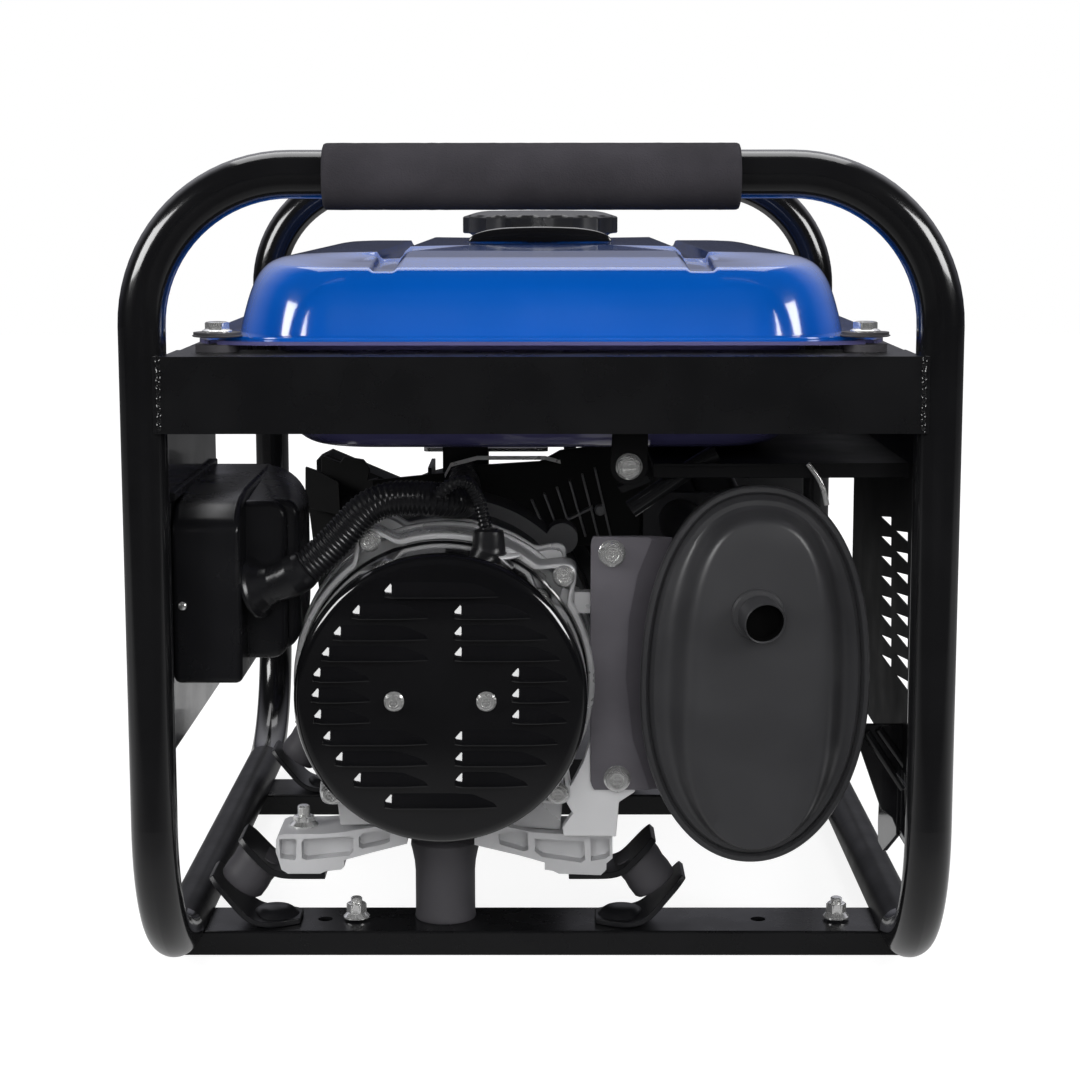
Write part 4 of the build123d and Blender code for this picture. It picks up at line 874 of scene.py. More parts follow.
@dataclass
class FuelTank:
    """Pressed blue tank with its cap, collar, seam and corner bolts."""

    half_x: float = 172.0
    half_y: float = 253.0
    corner: float = 62.0
    seam_z: float = 367.0
    bolt: Pair = (177.0, 255.0)
    flange: Pair = (190.0, 270.0)
    corner_steps: int = 40
    edge_steps: tuple[int, int] = (220, 260)
    channel_start: Pair = (13.0, 7.0)
    channel_wall: float = 2.6
    channel_depth: float = 4.2
    platform: Pair = (-79.5, 80.5)
    platform_wall: float = 3.0
    platform_end: Pair = (238.0, 26.0)
    platform_rise: float = 2.6
    cap_x: float = -1.0
    collar_squash: float = 0.92
    flutes: int = 8
    flute_depth: float = 0.062
    flute_shift: float = 0.03
    hump: Point = (-1.0, -54.2, 416.5)
    hump_half: Pair = (45.0, 3.4)
    hump_rise: float = 9.6
    collar: Pairs = ((0, 417.2), (45.6, 417.2), (47.0, 416.6), (54.0, 411.5), (58.0, 405.0))
    channels: Pairs = ((-95.0, -79.5), (80.5, 97.0))
    side_wall: Pairs = (
        (0, 369), (0.6, 372), (2, 378.5), (5.5, 391), (9, 399), (12.5, 404), (17, 408), (24, 410.8),
        (34, 412.3), (50, 413), (200, 413.6))
    end_wall: Pairs = (
        (0, 369), (1, 372), (5, 385), (9, 395.5), (13, 402.5), (15.5, 405.3), (17.5, 406.1), (40, 408.3),
        (80, 411), (130, 413.2), (200, 413.6))

    @staticmethod
    def soften(wall: Sequence[Pair], spread: float, inset: np.ndarray) -> np.ndarray:
        """Reads heights off a wall profile whose corners are rounded.

        Args:
            wall: Pairs of inset and height.
            spread: Half width of the rounding.
            inset: Distances in from the rim.

        Returns:
            The height at each inset.
        """
        known = np.array(wall)
        total = np.zeros_like(inset)
        for shift, weight in ((-1.0, 0.12), (-0.5, 0.22), (0.0, 0.32), (0.5, 0.22), (1.0, 0.12)):
            near = np.minimum(spread, inset) * shift
            total += weight * np.interp(inset + near, known[:, 0], known[:, 1])
        return total

    @staticmethod
    def between(x: np.ndarray, span: Pair, wall: float) -> np.ndarray:
        """Tells what lies between two sloping walls.

        Args:
            x: Points across.
            span: Where the walls start.
            wall: How wide each is.

        Returns:
            0 outside the span, 1 past its walls, and a share on them.
        """
        low, high = span
        return np.clip((x - low) / wall, 0, 1) * np.clip((high - x) / wall, 0, 1)

    def height(self, x: np.ndarray, y: np.ndarray, inset: float, facing: np.ndarray) -> np.ndarray:
        """Height of the pressed top.

        Args:
            x: Points across.
            y: Points along.
            inset: Their distance in from the rim.
            facing: How far each outline point faces front or back, from 0 to 1.

        Returns:
            The height at each point.
        """
        depth = np.full_like(x, inset)
        side, end = self.soften(self.side_wall, 3.0, depth), self.soften(self.end_wall, 1.2, depth)
        z = side * (1 - facing) + end * facing
        start, run = self.channel_start
        rise = eased(np.clip((inset - start) / run, 0, 1))
        for channel in self.channels:
            z = z - self.channel_depth * eased(self.between(x, channel, self.channel_wall)) * rise
        end, run = self.platform_end
        slope = np.clip((end - np.abs(y)) / run, 0, 1)
        platform = self.between(x, self.platform, self.platform_wall)
        z = z + self.platform_rise * platform * eased(slope)
        reach = np.hypot(x - self.cap_x, y * self.collar_squash)
        known = np.array(self.collar)
        collar = np.where(reach < known[-1, 0], np.interp(reach, known[:, 0], known[:, 1]), 0)
        return np.maximum(z, collar)

    def outline(self, inset: float) -> tuple[np.ndarray, np.ndarray, np.ndarray]:
        """Points round the pan at one inset.

        Args:
            inset: Distance in from the rim.

        Returns:
            X, Y and how far each point faces front or back.
        """
        a, b = self.half_x - inset, self.half_y - inset
        r = min(max(self.corner - inset * 0.8, 3.0), a)
        spots, facing = [], []
        for turn, sx, sy in CORNERS:
            for k in range(self.corner_steps + 1):
                angle = (turn + k / self.corner_steps) * math.pi / 2
                spots.append((sx * (a - r) + r * math.cos(angle), sy * (b - r) + r * math.sin(angle)))
                facing.append(math.sin(angle) ** 2)
            across = turn % 2 == 0
            steps = self.edge_steps[turn % 2]
            start = np.array(spots[-1])
            stop = np.array((-sx * (a - r), sy * b) if across else (sx * a, -sy * (b - r)))
            for k in range(1, steps):
                spots.append(tuple(start + (stop - start) * k / steps))
                facing.append(float(across))
        flat = np.array(spots)
        return flat[:, 0], flat[:, 1], np.array(facing)

    def upper_shell(self) -> None:
        """Makes the pressed upper half with its flange."""
        shape = Shape()
        rows = []
        x0, y0, _ = self.outline(0.0)
        for grow, z in ((0.0, 367.0), (0.995, 367.0), (1.0, 367.6), (1.0, 368.7), (0.99, 369.1), (0.3, 369.1),
                        (0.1, 369.2)):
            fx = 1 + grow * (self.flange[0] - self.half_x) / self.half_x
            fy = 1 + grow * (self.flange[1] - self.half_y) / self.half_y
            rows.append(np.stack([x0 * fx, y0 * fy, np.full_like(x0, z)], 1))
        insets = np.concatenate([np.linspace(0, 24, 30), np.linspace(25, 100, 50), np.linspace(103, 171, 24)])
        for inset in insets:
            x, y, facing = self.outline(inset)
            rows.append(np.stack([x, y, self.height(x, y, inset, facing)], 1))
        shape.grid(np.array(rows))
        Dress(TANK_BLUE, sharp=60, replaces=("tank_upper_shell",)).make("tank_upper", shape)

    def cap(self) -> None:
        """Makes the scalloped cap and the gauge hump in front of it."""
        shape = Shape()
        rim = [(44, 419.5), (46, 420.8), (49.6, 421.0), (50.4, 421.6), (50.4, 431.0), (49.8, 431.8),
               (46.5, 432.8), (42, 434.2), (38, 435.0), (34, 435.4), (20, 435.6), (0.1, 435.6)]
        turn = full_turn(384)
        flutes = 1 - self.flute_depth * np.abs(np.sin(self.flutes * (turn - self.flute_shift)))
        shape.turned([(0.1, 419.5)] + rim, (self.cap_x, 0, 0), Axis.UP, len(turn), rim=flutes)
        Dress(CAP_BLACK, body="cap", sharp=28, replaces=("tank_cap",)).make("cap_scalloped", shape)
        hump = Shape()
        turn = full_turn(64)
        rows = []
        for lift in np.linspace(0, 1, 14):
            size = (max(0.0001, 1 - lift ** 2.2)) ** (1 / 2.6)
            x = self.hump[0] + self.hump_half[0] * size * np.cos(turn)
            y = self.hump[1] + self.hump_half[1] * math.sqrt(size) * np.sin(turn)
            rows.append(np.stack([x, y, np.full_like(x, self.hump[2] + self.hump_rise * lift)], 1))
        hump.grid(np.array(rows))
        Dress(COVER_BLACK, sharp=60).make("gauge_hump", hump)

    def bolts(self) -> None:
        """Makes the corner bolts with their wide washers and rubber pads."""
        shape, pads = Shape(), Shape()
        for x in (-self.bolt[0], self.bolt[0]):
            for y in (-self.bolt[1], self.bolt[1]):
                top = self.seam_z + 2.2
                pad = [(0.1, 0), (13.4, 0), (13.8, 0.4), (13, 1.0), (0.1, 1.0)]
                pads.turned(pad, (x, y, top), Axis.UP, 48)
                washer = [(0.1, 1.0), (12.2, 1.0), (12.6, 1.4), (12.4, 2.0), (8, 2.2), (0.1, 2.2)]
                shape.turned(washer, (x, y, top), Axis.UP, 48)
                shape.flange_bolt((x, y, top + 2.2), Axis.UP, 11.6, 8.2, 5.0)
        Dress(ZINC, sharp=30, replaces=("tank_bolts",)).make("tank_corner_bolts", shape)
        Dress(RUBBER, sharp=40).make("tank_pads", pads)

    def build(self) -> None:
        """Makes the tank's dressed pieces."""
        self.upper_shell()
        self.cap()
        self.bolts()


@dataclass
class Alternator:
    """Louvred end cover, cast bracket with its feet, and the bolts round them."""

    face_y: float = -267.0
    studs: tuple[float, ...] = (42.0, 117.0, 225.0, 315.0)
    stud_radius: float = 92.5
    feet: tuple[Pairs, ...] = (
        ((-156.4, 70), (-155.4, 72), (-152.5, 73.4), (-128, 73.6), (-118, 74.5), (-105.5, 76.6), (-79.1, 80.9),
         (-79.2, 67.6), (-99.1, 62.5), (-116.3, 57.7), (-116.4, 53.6), (-118.2, 51.9), (-127.3, 50.9),
         (-130.7, 49.4), (-149.7, 49.4), (-153.5, 51.9), (-155.4, 58.8), (-156.7, 62.5)),
        ((41.7, 72.4), (41.8, 58.8), (38.2, 55.7), (38.2, 51.9), (34.9, 48.5), (10, 49.4), (6.7, 51.1),
         (1.8, 51.9), (1.8, 56.2), (-13.1, 60.5), (-39.5, 66.9), (-39.5, 80.4), (-18, 77.4), (-6.5, 74.6),
         (8, 73.6), (36, 73.9), (40, 73.2)))
    pockets: tuple[Pairs, ...] = (
        ((-154.5, 70.2), (-145.2, 70.7), (-144.3, 69), (-144.8, 58.8), (-145.8, 57.6), (-154, 58.8)),
        ((-140, 70.4), (-113, 72.1), (-110.9, 70.7), (-111, 63), (-113.2, 60.5), (-138.8, 57.6), (-141.3, 58.8),
         (-141.5, 68.1)),
        ((-107.6, 71.5), (-105.5, 74.1), (-92.3, 75.8), (-89.4, 74.9), (-89.4, 69), (-92.4, 67.6),
         (-105.7, 64.6), (-107.6, 65.6)),
        ((29, 70.7), (39.8, 70.7), (40.2, 60.5), (38.1, 58.8), (29.1, 57.1)),
        ((-4, 70.7), (24.9, 69), (25.7, 57.9), (23.3, 56.2), (0.1, 59.6), (-4, 63)),
        ((-25.5, 73.2), (-13.1, 75.8), (-8.1, 74.1), (-7.8, 63.9), (-10.6, 63), (-24.7, 67.3)))
    wing: Pairs = (
        (30.7, 157.7), (30.4, 139.1), (24.6, 120.8), (19.7, 110.8), (14.5, 101.6), (14.2, 96), (18.1, 89),
        (12.1, 80.5), (12.9, 75.5), (43.5, 75.1), (45.1, 95.7), (54.4, 101.9), (54.3, 112.4), (44, 115.8),
        (44, 157.7))
    backing: Pairs = (
        (-111, 261.5), (-64.6, 266.1), (-53.5, 270.6), (-1.3, 273.9), (11.8, 281.1), (63.9, 287.6),
        (64.3, 218.5), (-106.2, 218.5))
    rows: tuple[tuple[float, Pairs], ...] = (
        (58.915, ((-30.847, 32.514),)), (46.965, ((-48.632, -6.392), (7.503, 50.3))),
        (35.015, ((-59.193, -6.392), (7.503, 59.748))), (23.344, ((-65.862, -6.392), (7.503, 66.418))),
        (11.672, ((-70.864, -38.628), (39.184, 70.864))), (0.0, ((-71.976, -38.628), (39.184, 71.976))),
        (-11.95, ((-70.864, -38.628), (39.184, 70.309))), (-24.177, ((-65.862, -6.947), (7.503, 65.306))),
        (-36.127, ((-59.193, -6.947), (7.503, 59.193))), (-48.077, ((-49.188, -6.947), (7.503, 48.632))),
        (-60.304, ((-31.958, 31.403),)))

    hood_slope: tuple[tuple[float, ...], ...] = ((0, 0.6, 1.2, 4.4, 5.4, 6.5), (0, 0.7, 1.1, 2.8, 3.1, 3.15))
    hood_fall: tuple[tuple[float, ...], ...] = ((0, 1.5, 3, 7, 9.5), (0, 0.2, 0.6, 2.5, 4.2))
    hood_tail: float = 14.0

    def cover(self) -> None:
        """Makes the dished cover and its pressed hoods."""
        shape = Shape()
        profile = [(0.1, 0), (76, 0), (78.2, 0.35), (79.9, 1.3), (81.1, 2.9), (81.8, 5.2), (82, 9), (82, 48),
                   (82.9, 48.6), (83.2, 50), (0.1, 50)]
        shape.turned(profile, (AX, self.face_y, AZ), Axis.BACK, 160)
        Dress(COVER_BLACK, sharp=40, replaces=("end_cover",)).make("cover_dished", shape)
        hoods = Shape()
        for rise, spans in self.rows:
            for left, right in spans:
                self.hood(hoods, AX + left, AX + right, AZ + rise)
        Dress(COVER_BLACK, sharp=50).make("cover_hoods", hoods)

    def hood(self, shape: Shape, left: float, right: float, z: float) -> None:
        """Adds one pressed hood with its open edge below.

        Args:
            shape: Where it goes.
            left: Its left end.
            right: Its right end.
            z: The height of its lip.
        """
        rows = []
        length = right - left
        head, tail = self.hood_slope[0][-1], length - self.hood_tail
        runs = (np.linspace(0, head, 14), np.linspace(head, tail, 5), np.linspace(tail, length, 8))
        for run in np.unique(np.concatenate(runs)):
            crest = min(np.interp(run, *self.hood_slope), 0.2 * (length - run))
            section = [(-max(-0.3, crest - np.interp(rise, *self.hood_fall)), rise)
                       for rise in np.linspace(9.0, 0.4, 18)]
            section += [(-crest - 0.1, 0.0), (-crest + 0.2, -0.6), (-crest + 0.9, -0.5),
                        (min(0.3, 1.2 - crest), 0.3), (0.6, 0.6), (0.6, 9.0)]
            rows.append([(left + run, self.face_y + depth, z + rise) for depth, rise in section])
        shape.grid(np.array(rows))

    def lugs(self, angles: Sequence[float], reach: float, spread: float) -> np.ndarray:
        """Factors that swell a ring's rim into lugs.

        Args:
            angles: Where the lugs stand, in degrees.
            reach: How far each stands out, as a share of the radius.
            spread: Half width of each at its root, in radians.

        Returns:
            One factor for each of 360 points round the ring.
        """
        turn = full_turn(360)
        rim = np.ones(360)
        for angle in angles:
            off = np.abs((turn - math.radians(angle) + np.pi) % (2 * np.pi) - np.pi)
            near = np.clip(1 - off / spread, 0, 1)
            rim += reach * eased(near)
        return rim

    def casting(self) -> None:
        """Makes the cast bracket's rings, lugs, legs and arm, and the backing, fins and strip above it."""
        ring, centre = Shape(), (AX, 0, AZ)
        lip = [(83.4, 216), (85.9, 216), (86.7, 215.3), (87.0, 213), (87.5, 196), (86.8, 194), (83.4, 194)]
        seat = [(70, 195), (86.9, 195), (87.3, 182), (70, 182)]
        bead = [(84, 184), (88.4, 184), (89.2, 183.2), (89.2, 179.8), (88.4, 179), (84, 179)]
        back = [(70, 180), (86.6, 180), (86.6, 172), (89.0, 171.2), (89.4, 170.4), (89.4, 167.4), (88.8, 166.6),
                (70, 166.6)]
        for profile, segments, rim in ((lip, 360, self.lugs(self.studs, 0.155, 0.19)), (seat, 240, None),
                                       (bead, 240, None), (back, 360, self.lugs((112.0, 46.5), 0.125, 0.15))):
            ring.turned(profile, centre, Axis.FRONT, segments, rim=rim, hollow=True)
        ring.block((18.8, -209, 207), (29.5, -199, 219.5))
        ring.prism([(6, 196), (12, 222), (22, 219), (22, 207), (14, 190)], Axis.BACK, -207, -190)
        ring.prism([(-121.5, 106), (-118.5, 78.5), (-84, 79), (-78, 92), (-100, 114)], Axis.BACK, -198, -178)
        ring.prism([(-34, 96), (-24, 76.5), (11, 74), (13, 101), (2, 112)], Axis.BACK, -192, -170)
        ring.prism([(-42, 230), (-42, 237), (-36, 240.4), (-18, 240.4), (-12, 237), (-12, 230)], Axis.BACK,
                   -214, -194)
        Dress(CAST, sharp=35, bevel=0.8, replaces=("end_bracket",)).make("bracket_casting", ring)
        shroud = Shape()
        shroud.prism(self.backing, Axis.BACK, -22, -18)
        Dress(SHADE_BLACK, sharp=35, bevel=0.5).make("adaptor_backing", shroud)
        # The fin edges, the pin and the slanted plate carry a mid grey in place of their black paint: painted
        # highlight.
        fins = Shape()
        for k in range(6):
            x, z = -6.7 + 8.2 * k, 249.3 + 4.2 * k
            fins.prism([(x - 0.7, z), (x + 0.7, z), (x + 11.2, 225.2), (x + 9.8, 225.2)], Axis.BACK, -30, -22)
        fins.prism([(-1.3, 226.8), (-1.3, 228.4), (33.2, 245.5), (33.2, 243.9)], Axis.BACK, -31, -22)
        pin = [(0.1, -32), (2.6, -32), (3.4, -31), (3.4, -22), (0.1, -22)]
        fins.turned(pin, (37.8, 0, 242.7), Axis.BACK, 32)
        Dress(FIN_EDGE_HIGHLIGHT, sharp=35, bevel=0.3).make("cylinder_fin_edges_painted_highlight", fins)
        strip = Shape()
        line = [(-63.5, 265.7), (-59.5, 273), (-42.3, 277.6), (2, 277.6), (11.9, 275)]
        strip.prism(line + [(x + 0.4, z - 2.5) for x, z in reversed(line)], Axis.BACK, -24, -22.5)
        Dress(CAST, sharp=35).make("adaptor_strip", strip)

    def feet_cast(self) -> None:
        """Makes the two feet with their cored pockets, the machined wing and the loom's pad."""
        feet, cores = Shape(), Shape()
        for outline in self.feet:
            feet.prism(outline, Axis.BACK, -200, -160)
        for outline in self.pockets:
            cores.prism(outline, Axis.BACK, -203, -190)
        Dress(CAST_FOOT, sharp=35, bevel=1.1).make("bracket_feet", carve(feet, cores))
        wing = Shape()
        wing.prism(self.wing, Axis.BACK, -211.4, -203)
        wing.block((31, -211.4, 203), (54, -203, 251))
        Dress(CAST_LIGHT, sharp=30, bevel=0.7).make("bracket_wing", wing)
        pad = Shape()
        disc = [(0.1, 240.4), (15.5, 240.4), (16.4, 241.0), (16.4, 241.8), (15.8, 242.0), (0.1, 242.0)]
        pad.turned(disc, (-28, -219, 1.5), Axis.UP, 64)
        Dress(CAST_LIGHT, sharp=30).make("loom_pad", pad)
        seal = Shape()
        seal.prism(rounded(27, 11, 3, centre=(-31.5, -224)), Axis.UP, 236.7, 241.7)
        Dress(RUBBER, sharp=30, bevel=1.0).make("loom_pad_seal", seal)

    def bolts(self) -> None:
        """Makes the bolt heads of the alternator, its plate and the stay, and the nuts below them."""
        shape = Shape()
        for x in (-25.6, 25.6):
            shape.flange_bolt((AX + x, self.face_y, AZ), Axis.FRONT, 8.2, 5.6, 4.0)
        for angle in self.studs:
            turn = math.radians(angle)
            spot = (AX + self.stud_radius * math.cos(turn), -216.0, AZ + self.stud_radius * math.sin(turn))
            shape.flange_bolt(spot, Axis.FRONT, 9.6, 6.4, 5.0)
        for x, z in ((40.4, 243.0), (43.8, 111.0)):
            shape.flange_bolt((x, -215.0, z), Axis.FRONT, 12.0, 7.8, 5.5)
        shape.flange_bolt((48.7, -246.0, 296.5), Axis.FRONT, 11.5, 7.4, 5.5)
        flange_nut(shape, (-141.9, -180, 73.4), 11.0, 8.4, 5.6, 12.4)
        for x in (-111.2, 176.8):
            flange_nut(shape, (x, -178.5, 16.4), 10.4, 7.8, 8.2, 12.4)
        Dress(ZINC, sharp=30, replaces=("flange_bolts",)).make("machine_bolts", shape)

    def build(self) -> None:
        """Makes the alternator's dressed pieces."""
        self.cover()
        self.casting()
        self.feet_cast()
        self.bolts()


@dataclass
class Exhaust:
    """Pressed muffler, its outlet and the plates round it."""

    centre: Pair = (119.6, 172.0)
    half: float = 61.3
    up: float = 111.3
    down: float = 97.3
    lean: float = 0.75
    profile: Pairs = (
        (-2.6, -249), (-3.1, -250.2), (-2.9, -251.8), (-2.0, -253), (0.2, -253.4), (1.2, -252.6), (1.9, -251.4),
        (2.7, -252.6), (3.5, -255.2), (4.6, -256.6), (6.2, -257.0), (8.5, -257.2), (11.5, -258.6),
        (14.5, -261.6), (17.0, -265.4), (19.5, -269.4), (22.0, -272.4), (25, -274.4), (29, -275.4),
        (36, -275.9), (44, -276))
    outlet_seat: Point = (118.6, -274.8, 218.3)
    outlet_run: Point = (2.9, -13.2, -2.8)
    stay_route: tuple[Point, ...] = ((50, -238, 271.5), (70, -238, 285), (88, -238, 298), (98, -238, 303))
    rod_route: tuple[Point, ...] = (
        (147.2, -251, 298.5), (152.2, -251, 292.5), (156.5, -251, 284.3), (158.2, -251, 275.5))
    vent_spans: Pairs = ((-131.0, -176.0), (-192.0, -239.0))
    vent_count: int = 8
    vent_top: float = 252.6
    vent_pitch: float = 11.78
    vent_slant: float = 1.7
    vent_height: float = 5.8
    plate_left: Pairs = ((29.5, 252.6), (28.2, 249), (28.0, 180), (28.4, 108), (30.5, 104))
    plate_crease: Pairs = ((63.2, 250.6), (55.1, 230.1), (50.3, 204.8), (48.7, 169.1), (52.9, 133.7),
                           (62.9, 104))
    plate_right: Pairs = ((75.6, 248.9), (69.0, 222), (64.5, 198), (63.5, 168), (68.0, 130), (78.0, 104))

    def ring(self, inset: float, y: float, count: int = 200) -> np.ndarray:
        """Points of the egg-shaped outline, whose steps draw together at the bottom.

        Args:
            inset: How far the outline is taken in.
            y: Its plane.
            count: Points round it.

        Returns:
            The points, one row each.
        """
        turn = full_turn(count)
        across, rise = np.cos(turn), np.sin(turn)
        power = np.where(rise > 0, 2 / (2.28 + 0.1 * min(1.0, inset / 15)), 2 / 2.06)
        low = np.clip(-rise, 0, 1) ** 1.5
        shift = max(0.0, inset - 6.2) * min(1.0, max(0.0, (44 - inset) / 14))
        step = inset - (low * 0.84 + np.clip(rise, 0, 1) ** 2 * 0.58) * shift
        reach = np.where(rise > 0, self.up, self.down)
        x = (self.half - step) * np.sign(across) * np.abs(across) ** power
        z = (reach - step) * np.sign(rise) * np.abs(rise) ** power
        return np.stack([self.centre[0] + x + math.tan(math.radians(self.lean)) * z, self.sink(z, y),
                         self.centre[1] + z], 1)

    @staticmethod
    def sink(rise: np.ndarray, y: float) -> np.ndarray:
        """Takes the lower part of a raised ring back towards the seam.

        Args:
            rise: Heights from the muffler's middle.
            y: The ring's plane.

        Returns:
            The plane at each height.
        """
        return y + np.clip((-rise - 10) / 90, 0, 1) * max(0.0, -257 - y) * 0.35

    def body(self) -> None:
        """Makes the two pressed halves with their rolled seam."""
        shape = Shape()
        rows = [self.ring(20, -192), self.ring(10, -193), self.ring(4, -198), self.ring(1, -215),
                self.ring(0, -248.6)]
        rows += [self.ring(inset, y) for inset, y in self.profile]
        rim = rows[-1]
        for share in (0.75, 0.5, 0.25, 0.05):
            inner = rim.mean(axis=0) + (rim - rim.mean(axis=0)) * share
            inner[:, 1] = self.sink(inner[:, 2] - self.centre[1], -276)
            rows.append(inner)
        shape.grid(np.array(rows))
        Dress(MUFFLER_GREY, sharp=30, replaces=("muffler_body",)).make("muffler_pressed", shape)

    def outlet(self) -> None:
        """Makes the tail pipe with its collar and rolled mouth."""
        shape = Shape()
        seat, along = self.outlet_seat, tuple(Vector(self.outlet_run).normalized())
        collar = [(0.1, 0), (14.6, 0), (14.4, 2.2), (13.4, 3.4), (11.6, 3.8), (0.1, 3.9)]
        pipe = [(0.1, 2), (11.9, 2), (11.8, 13.2), (11.4, 13.9), (10.8, 13.6), (10.6, 5), (0.1, 5)]
        inside = [(0.1, 7.2), (10.75, 7.2), (10.75, 12.8), (10.3, 13.1), (10.1, 7.7), (0.1, 7.6)]
        shape.turned(collar, seat, Axis.FRONT, 64)
        shape.turned(pipe, seat, along, 64)
        # A near-black cup inside the pipe stands in for the shade deep in its bore: painted shade.
        bore = Shape()
        bore.turned(inside, seat, along, 64)
        Dress(BORE_SHADE, sharp=34).make("outlet_bore_shade_cup", bore)
        Dress(MUFFLER_GREY, sharp=34, replaces=("tail_pipe",)).make("outlet_pipe", shape)

    def plate(self) -> None:
        """Makes the creased mounting plate."""
        shape = Shape()
        lines = [np.array(line)[::-1] for line in (self.plate_left, self.plate_crease, self.plate_right)]
        rows = []
        for share in np.linspace(0, 1, 60):
            z = 104 + 148.6 * share
            xl, xc, xr = (float(np.interp(z, line[:, 1], line[:, 0])) for line in lines)
            front = [(xl, -215), (xc - 1.5, -215), (xc, -214.6), (xc + 1.2, -213.6), (xr, -206.5)]
            back = [(xr - 1, -204.5), (xc - 1, -211.8), (xl, -211.8)]
            top = min(z, 250.8) if share > 0.99 else z
            rows.append([(x, y, z if x < xc else top) for x, y in front + back])
        shape.grid(np.array(rows))
        Dress(PLATE_GREY_PAINTED_LIGHT, sharp=20, bevel=0.6, replaces=("muffler_bracket",)).make("plate_creased", shape)

    def shield(self) -> None:
        """Makes the heat shield with its strap, lip, stay tube and rod."""
        shape = Shape()
        shape.block((62, -246, 296), (204, -60, 298))
        shape.block((62, -246, 290), (204, -244, 298))
        strap = [(39.5, 317.5)]
        strap += [(48.7 + 10.4 * math.cos(a), 296.5 + 10.4 * math.sin(a))
                  for a in np.linspace(math.pi, 2 * math.pi, 17)]
        strap += [(59.3, 317.5)]
        shape.prism(strap, Axis.BACK, -246, -243.5)
        shape.prism([(42.4, 284.5), (45, 281.3), (61.5, 287.7), (58.9, 291.6)], Axis.BACK, -245, -236)
        Dress(GUARD_BLACK, sharp=35, bevel=0.5, replaces=("heat_shield",)).make("shield_strapped", shape)
        stay = Shape()
        stay.tube(smooth_path(self.stay_route, 2.0), 5.0, 24)
        Dress(FRAME_BLACK, sharp=60).make("stay_tube", stay)
        rod = Shape()
        rod.tube(smooth_path(self.rod_route, 1.5), 1.5, 12)
        Dress(ZINC, sharp=60).make("shield_rod", rod)

    def guard(self) -> None:
        """Makes the side guard with its pressed three-cornered vents, its tab and the studs beside it."""
        sheet, vents = Shape(), Shape()
        outline = [(-250, 322), (-255.7, 319.7), (-258, 314), (-258, 122), (-38, 122), (-8, 162), (-8, 314),
                   (-10.3, 319.7), (-16, 322)]
        sheet.prism(outline, Axis.RIGHT, 205.2, 206)
        for far, near in self.vent_spans:
            for k in range(self.vent_count):
                z, slant = self.vent_top - self.vent_pitch * k, self.vent_slant * k
                corners = [(far - slant, z), (near - slant, z), (near - slant, z + self.vent_height)]
                vents.prism(corners, Axis.RIGHT, 202, 208)
        Dress(GUARD_BLACK, sharp=30, replaces=("muffler_guard",)).make("guard_vented", carve(sheet, vents))
        tab = Shape()
        tab.prism([(179.8, 137.7), (182.7, 148.1), (205.5, 148.1), (208, 84), (204, 84), (200.1, 93.6),
                   (193.7, 98.6)], Axis.BACK, -238, -234)
        for start, stop in (((184, -239, 144), (206, -239, 111)), ((191, -239, 146), (207, -239, 124))):
            tab.tube(smooth_path((start, stop), 4.0), 2.6, 16)
        tab.block((204, -238, 84), (208, -214, 124))
        tab.prism([(-238, 124), (-238, 84), (-188, 60), (-168, 60), (-166, 72), (-168, 84), (-204, 124)],
                  Axis.RIGHT, 202.5, 205.5)
        tab.block((204, -271, 84), (214, -214, 88))
        Dress(FRAME_BLACK, sharp=30, bevel=0.6).make("guard_tab", tab)
        studs = Shape()
        for x, y, z in ((206, -150, 289.1), (203.5, -178, 71.5)):
            thread = [(0.1, 0), (3.2, 0)]
            for k in range(10):
                thread += [(3.7, 0.9 + 1.1 * k), (3.2, 1.4 + 1.1 * k)]
            studs.turned(thread + [(3.2, 12.4), (0.1, 12.6)], (x, y, z), Axis.RIGHT, 24)
        Dress(ZINC, sharp=40).make("rail_studs", studs)

    def build(self) -> None:
        """Makes the exhaust's dressed pieces."""
        self.body()
        self.outlet()
        self.plate()
        self.shield()
        self.guard()


